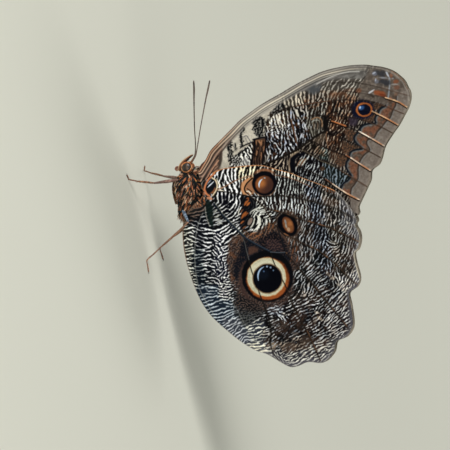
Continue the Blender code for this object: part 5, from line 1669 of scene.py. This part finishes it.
def add_feeler(name_end, side, material):
    places = [(x, side * y, z) for x, y, z in FEELER_ROUTE]
    fine = stations([p + (r,) for p, r in zip(places, FEELER_RADII)], 24)
    along = distances(fine[:, :3])
    wanted = np.linspace(0.0, along[-1], int(along[-1] / FEELER_RING) * 4)
    route = resampled(fine, along, wanted)
    ring = (wanted / FEELER_RING) % 1.0
    radii = route[:, 3] * (1.0 - 0.16 * (ring < 0.2))
    ends = np.minimum(wanted, wanted[-1] - wanted)
    radii = radii * np.sqrt(np.clip(ends / 0.3, 0.15, 1.0))
    p, f = tube(route[:, :3], radii, 12)
    shade = np.append(np.repeat(ring, 12), [0.5, 0.5])
    colours = np.where((shade < 0.22)[:, None], rgb("8f7a66"), rgb("38251b"))
    base = np.append(np.repeat(np.exp(-wanted / 1.2), 12), [1.0, 0.0])[:, None]
    colours = colours * (1 - base) + rgb("a9653a") * base
    add_piece(f"antenna_{name_end}_rings", [f"antenna_{name_end}"], (p, f, colours),
              material)


def add_palp(name_end, side, material, coat):
    route = stations([(x, side * y, z, r) for (x, y, z), r in zip(PALP_ROUTE, PALP_RADII)], 8)
    p, f = tube(route[:, :3], route[:, 3], 16)
    front = np.sin(np.append(np.tile(np.linspace(0, 2 * np.pi, 16, endpoint=False), len(route)),
                             [0, 0]))
    colours = layered("7a4b33", ("e3c9a2", 0.8 * smooth_step(0.3, 0.8, front)),
                      ("1d1614", 0.9 * smooth_step(-0.1, -0.6, front)))
    add_piece(f"palp_{name_end}_skin", [f"palp_{name_end}"], (p, f, colours), material)
    draw = np.random.default_rng(21 if side > 0 else 22)
    count = 900
    share = draw.random(count) * (len(route) - 1.001)
    turn = draw.random(count) * 2 * np.pi
    low = share.astype(int)
    part = (share - low)[:, None]
    middle = route[low] * (1 - part) + route[low + 1] * part
    ahead = unit(route[low + 1, :3] - route[low, :3])
    u = unit(np.cross(ahead, (0.0, 1.0, 0.0)))
    w = np.cross(ahead, u)
    out = np.cos(turn)[:, None] * u + np.sin(turn)[:, None] * w
    roots = middle[:, :3] + out * middle[:, 3:4] * 0.9
    lie = unit(ahead + draw.normal(0, 0.12, (count, 3)))
    tone = np.where((np.cos(turn) > 0.45)[:, None], rgb("e9d3b0"),
                    np.where((np.cos(turn) < -0.35)[:, None], rgb("211815"), rgb("a35e35")))
    tone = tone * draw.uniform(0.7, 1.15, (count, 1))
    on_map = np.stack([turn / (2 * np.pi), share / len(route)], 1) * 0.9 + 0.05
    add_tufts(f"palp_{name_end}_coat", roots, out, lie, draw.uniform(0.35, 0.75, count),
              draw.uniform(0.06, 0.11, count), draw.uniform(0.05, 0.3, count), tone, on_map, coat)


def add_eye(name_end, side, material, ring_material):
    """A faceted eye and the ring of pale scales round it."""
    heights = np.linspace(0.0, np.pi, EYE_RINGS + 2)[1:-1]
    turns = np.linspace(0.0, 2 * np.pi, EYE_SIDES, endpoint=False)
    rise, turn = (v.ravel() for v in np.meshgrid(heights, turns, indexing="ij"))
    ball = np.stack([np.sin(rise) * np.cos(turn), np.sin(rise) * np.sin(turn), -np.cos(rise)], 1)
    ball = np.vstack([ball, [(0.0, 0.0, -1.0), (0.0, 0.0, 1.0)]])
    places = (ball * EYE_HALF + EYE_CENTRE) * (1.0, side, 1.0)
    faces = tube_faces(EYE_RINGS, EYE_SIDES)[:, ::1 if side > 0 else -1]
    add_piece(f"eye_{name_end}_facets", [f"eye_{name_end}"], (places, faces, eye_colour(ball)),
              material)
    turns = np.linspace(0, 2 * np.pi, 60)
    near_lids = np.sin(turns) ** 2
    rim_x = EYE_CENTRE[0] - 0.41 * RIM_LONG * np.cos(turns) + 0.91 * RIM_HIGH * np.sin(turns)
    rim_z = EYE_CENTRE[2] + 0.91 * RIM_LONG * np.cos(turns) + 0.41 * RIM_HIGH * np.sin(turns)
    rim_y = side * (EYE_CENTRE[1] + 0.1 + 0.3 * near_lids)
    p, f = tube(np.stack([rim_x, rim_y, rim_z], 1), 0.21 + 0.17 * near_lids, 10)
    ring = p, f, shell_colour(p, "b0693c", "ecc9a0", 521 + int(side), 0.4)
    turns = np.linspace(-0.9, 1.9, 50)
    arc = np.stack([EYE_CENTRE[0] + 1.24 * EYE_HALF[0] * np.cos(turns), np.full(50, side * 1.62),
                    EYE_CENTRE[2] + 1.22 * EYE_HALF[2] * np.sin(turns)], 1)
    socket = tube(arc, 0.2 * np.sin(np.pi * np.linspace(0.12, 0.88, 50)), 8)
    socket += (shell_colour(socket[0], "b5714a", "efcfae", 523, 0.4),)
    add_piece(f"eye_{name_end}_rim", [], joined([ring, socket]), ring_material)


def eye_colour(ball):
    """Dark brown with soft, broken bands."""
    x, _, z = ball.T
    bands = np.sin(7.0 * (z + 0.35 * x) + 1.4 * noise(x, z, 0.5, 531))
    return layered("2b211a", ("6b4c34", 0.75 * smooth_step(0.1, 0.9, bands)),
                   ("100b0a", 0.6 * smooth_step(0.1, 0.8, noise(x, z, 0.35, 533))))


def add_tongue(material):
    """The coiled tongue, three turns of a thin tube."""
    turns = np.linspace(0.0, 3.1, 150)
    radius = 0.92 * TONGUE_RADIUS - 0.24 * turns
    angle = 2 * np.pi * turns + 1.2
    x = TONGUE_CENTRE[0] + radius * np.cos(angle)
    z = TONGUE_CENTRE[2] + radius * np.sin(angle)
    route = np.stack([x, np.zeros(len(x)), z], 1)
    radii = np.interp(turns, (0, 3.1), (0.2, 0.14)) * (1 - 0.1 * (np.arange(150) % 4 == 0))
    p, f = tube(route, radii, 10)
    mesh = p, f, shell_colour(p, "7d4a38", "c9977c", 541)
    add_piece("proboscis_coil", ["proboscis"], mesh, material)


def away_from(draw, axis):
    """A random direction square to an axis."""
    away = draw.normal(0, 1, 3)
    return unit(away - axis * away.dot(axis))


def shell_tube(route, radii, sides, *looks):
    p, f = tube(route, radii, sides)
    return p, f, shell_colour(p, *looks)


def leg_parts(places, hind, seed):
    """One leg: thigh, shin and foot with their scales, thorns, spurs and claws."""
    draw = np.random.default_rng(seed)
    hip, knee, ankle, heel, toe = [np.array((x, y, z - ROOT_HEIGHT)) for x, y, z in places]
    heel, toe = (v + UPWARDS * (FOOT_RADIUS * 0.96) for v in (heel, toe))
    shares = np.linspace(0, 1, 26)
    radii = np.interp(shares, (0, 0.45, 0.9, 1.0), LEG_RADII + (LEG_RADII[2] * 0.85,))
    # The pale mottling of thigh, shin and foot is partly their own pale scales and partly painted highlight;
    # on the hind thigh the pale blue is a painted highlight.
    tints = ("4a5c70", "b9cae0") if hind else ("6f5348", "b08c7c")
    thigh = [shell_tube(hip + (knee - hip) * shares[:, None], radii, 14, *tints, seed + 1)]
    route = knee + (ankle - knee) * shares[:, None]
    route[:, 2] += np.linalg.norm(ankle - knee) * 0.02 * np.sin(np.pi * shares)
    radii = np.interp(shares, (0, 0.08, 0.5, 0.92, 1.0), (0.2,) + SHIN_RADII + (0.2,))
    shin = [shell_tube(route, radii, 14, "765039", "bb8d6a", seed + 2)]
    ahead = unit(ankle - knee)
    for _ in range(SHIN_THORNS):
        share = draw.uniform(0.08, 0.95)
        away = away_from(draw, ahead)
        root = knee + (ankle - knee) * share + away * 0.26
        shin.append(spine(root, ahead * 0.8 + away * 0.6, draw.uniform(0.3, 0.55), 0.07, rgb("40281f")))
    for s in (-1, 1):
        away = np.cross(ahead, UPWARDS) * s
        shin.append(spine(ankle - ahead * 0.4 + away * 0.22, ahead + away * 0.45 - UPWARDS * 0.2, 1.15,
                          0.16, rgb("6b4438")))
    route = stations([ankle, ankle + 0.55 * (heel - ankle), heel, heel + 0.5 * (toe - heel), toe], 10)
    along = distances(route)
    joints = (along / along[-1] * 5.0) % 1.0
    radii = FOOT_RADIUS * (0.8 + 0.2 * np.sin(np.pi * joints) ** 0.5)
    radii[0] *= 0.7
    radii[-1] *= 0.5
    foot = [shell_tube(route, radii, 12, "7a523d", "bb9070", seed + 3, 0.4)]
    level = unit(toe - heel)
    for _ in range(FOOT_THORNS):
        where = resampled(route, along, [draw.uniform(0.05, 0.97) * along[-1]])[0]
        away = draw.normal(0, 1, 3)
        away[2] = abs(away[2]) * 0.4
        away = unit(away)
        foot.append(spine(where + away * FOOT_RADIUS * 0.7, level * 0.7 + away * 0.6,
                          draw.uniform(0.22, 0.4), 0.06, rgb("3d261e")))
    side = np.cross(level, UPWARDS)
    for s in (-1, 1):
        claw = stations([toe + side * 0.08 * s, toe + level * 0.3 + side * 0.22 * s + UPWARDS * 0.08,
                         toe + level * 0.52 + side * 0.3 * s - UPWARDS * 0.16], 6)
        p, f = tube(claw, np.linspace(0.09, 0.02, len(claw)), 8)
        foot.append((p, f, np.tile(rgb("241611"), (len(p), 1))))
    return {"femur": thigh, "tibia": shin, "tarsus": foot}


def add_leg(kind, name_end, places, material, seed):
    for part, meshes in leg_parts(places, kind == "hindleg", seed).items():
        p, f, c = joined(meshes)
        p[:, 2] = np.maximum(p[:, 2], -ROOT_HEIGHT + 0.004)
        node = f"{kind}_{part}_{name_end}"
        add_piece(node + "_shell", [node], (p, f, c), material)


def add_foreleg(name_end, side, material, coat):
    """A short brush-like foreleg folded back under the thorax."""
    x = np.linspace(FORELEG_X[0], FORELEG_X[1], 40)
    middle, wide, high = section(THORAX, x)
    drop = high * np.sqrt(1.0 - ((FORELEG_SIDE - 0.42) / wide) ** 2)
    route = np.stack([x, np.full(40, side * FORELEG_SIDE), middle - drop - GAP - 0.36], 1)
    radii = 0.34 * np.sin(np.pi * np.linspace(0.12, 0.9, 40))
    p, f = tube(route, radii, 14)
    mesh = p, f, shell_colour(p, "231812", "7c5238", 561)
    add_piece(f"foreleg_{name_end}_skin", [f"foreleg_{name_end}"], mesh, material)
    draw = np.random.default_rng(31 if side > 0 else 32)
    count = 700
    share = draw.random(count)
    turn = draw.random(count) * 2 * np.pi
    middle = resampled(route, np.linspace(0, 1, 40), share)
    radius = np.interp(share, np.linspace(0, 1, 40), radii)
    out = np.stack([np.zeros(count), np.cos(turn), np.sin(turn)], 1)
    lie = unit(BACKWARDS + draw.normal(0, 0.15, (count, 3)))
    tone = np.where((draw.random(count) < 0.35)[:, None], rgb("a8744c"), rgb("1d1410"))
    on_map = np.stack([turn / (2 * np.pi), share], 1) * 0.9 + 0.05
    add_tufts(f"foreleg_{name_end}_coat", middle + out * radius[:, None] * 0.85, out, lie,
              draw.uniform(0.4, 0.8, count), draw.uniform(0.06, 0.1, count),
              draw.uniform(0.05, 0.3, count), tone, on_map, coat)


# Floor, light and camera
def add_floor():
    floor_material, tree, shader = new_material("floor_paper", 0.9, specular=0.2)
    shader.inputs["Base Color"].default_value = tint("d3d2c4")
    bumped(tree, shader, tree.nodes.new("ShaderNodeTexCoord"), 1.5, 0.02)
    corners = np.array([(-6.0, -6.0, 0.0), (6.0, -6.0, 0.0), (6.0, 6.0, 0.0), (-6.0, 6.0, 0.0)])
    floor = make_object("studio_floor", corners, [(0, 1, 2, 3)], None, floor_material, False)


def add_light(name, away, size, power, aim):
    lamp = bpy.data.lights.new(name, "AREA")
    lamp.shape = "DISK"
    lamp.size = size
    lamp.energy = power
    holder = bpy.data.objects.new(name, lamp)
    bpy.context.scene.collection.objects.link(holder)
    holder.location = aim + Vector(away)
    holder.rotation_euler = (-Vector(away)).to_track_quat("-Z", "Y").to_euler()


def add_studio():
    aim = Vector(to_frame(PICTURE_MIDDLE[0], 0.0, PICTURE_MIDDLE[1]))
    add_light("key_light", (-1.0, -1.0, 0.9), 1.0, 22.8, aim)
    add_light("fill_light", (0.9, -1.2, 0.5), 1.2, 5.2, aim)
    add_light("back_light", (0.3, 1.3, 1.1), 1.0, 8.7, aim)
    world = bpy.data.worlds.new("studio_air")
    bpy.context.scene.world = world
    world.use_nodes = True
    air = world.node_tree.nodes["Background"]
    air.inputs["Color"].default_value = tint("dfe3df")
    air.inputs["Strength"].default_value = 0.39


def add_camera():
    """The photograph's view, turned with the insect from its perch to the floor."""
    rise, turn = CAMERA_RISE, CHART_TURN
    picture_up = Vector((0.0, math.sin(rise), math.cos(rise)))
    forward = Vector((0.0, math.cos(rise), -math.sin(rise)))
    right = Vector((math.sin(turn), 0.0, 0.0)) + math.cos(turn) * picture_up
    up = Vector((-math.cos(turn), 0.0, 0.0)) + math.sin(turn) * picture_up
    aim = Vector(to_frame(PICTURE_MIDDLE[0], 0.0, 0.0)) + PICTURE_MIDDLE[1] * MM * picture_up
    view = bpy.data.cameras.new("photo_camera")
    view.sensor_width = 36.0
    view.lens = view.sensor_width * CAMERA_DISTANCE / PICTURE_WIDTH
    view.clip_start = 0.05
    view.clip_end = 30.0
    camera = bpy.data.objects.new("photo_camera", view)
    bpy.context.scene.collection.objects.link(camera)
    turned = Matrix((right, up, -forward)).transposed().to_4x4()
    camera.matrix_world = Matrix.Translation(aim - forward * CAMERA_DISTANCE * MM) @ turned
    bpy.context.scene.camera = camera


def main():
    add_camera()
    bpy.context.scene.view_settings.view_transform = "Standard"
    wings = marked_material("wing_scales", 0.6, specular=0.03)
    fur = marked_material("body_fur", 0.6, specular=0.25)
    skin = marked_material("body_cuticle", 0.5, specular=0.3)
    shell = marked_material("limb_shell", 0.45, strength=0.1, specular=0.5)
    eye = marked_material("eye_facets", 0.38, grain=0.09, strength=0.08, height=0.012, coat=0.2)
    add_wings("forewing", wing_arrays(FOREWING_EDGE, spread, FW_VEINS, forewing), wings)
    add_wings("hindwing", wing_arrays(HINDWING_EDGE, over_forewing, HW_VEINS, hindwing), wings)
    add_skin(skin)
    add_body_coat(fur)
    add_clumps(fur)
    add_tongue(shell)
    for name_end, side in (("left", -1.0), ("right", 1.0)):
        add_feeler(name_end, side, shell)
        add_palp(name_end, side, skin, fur)
        add_eye(name_end, side, eye, fur)
        add_foreleg(name_end, side, skin, fur)
        left = side < 0
        add_leg("midleg", name_end, NEAR_MID_LEG if left else FAR_MID_LEG, shell, 601 + int(left))
        add_leg("hindleg", name_end, NEAR_HIND_LEG if left else FAR_HIND_LEG, shell, 611 + int(left))
    add_floor()
    add_studio()


main()
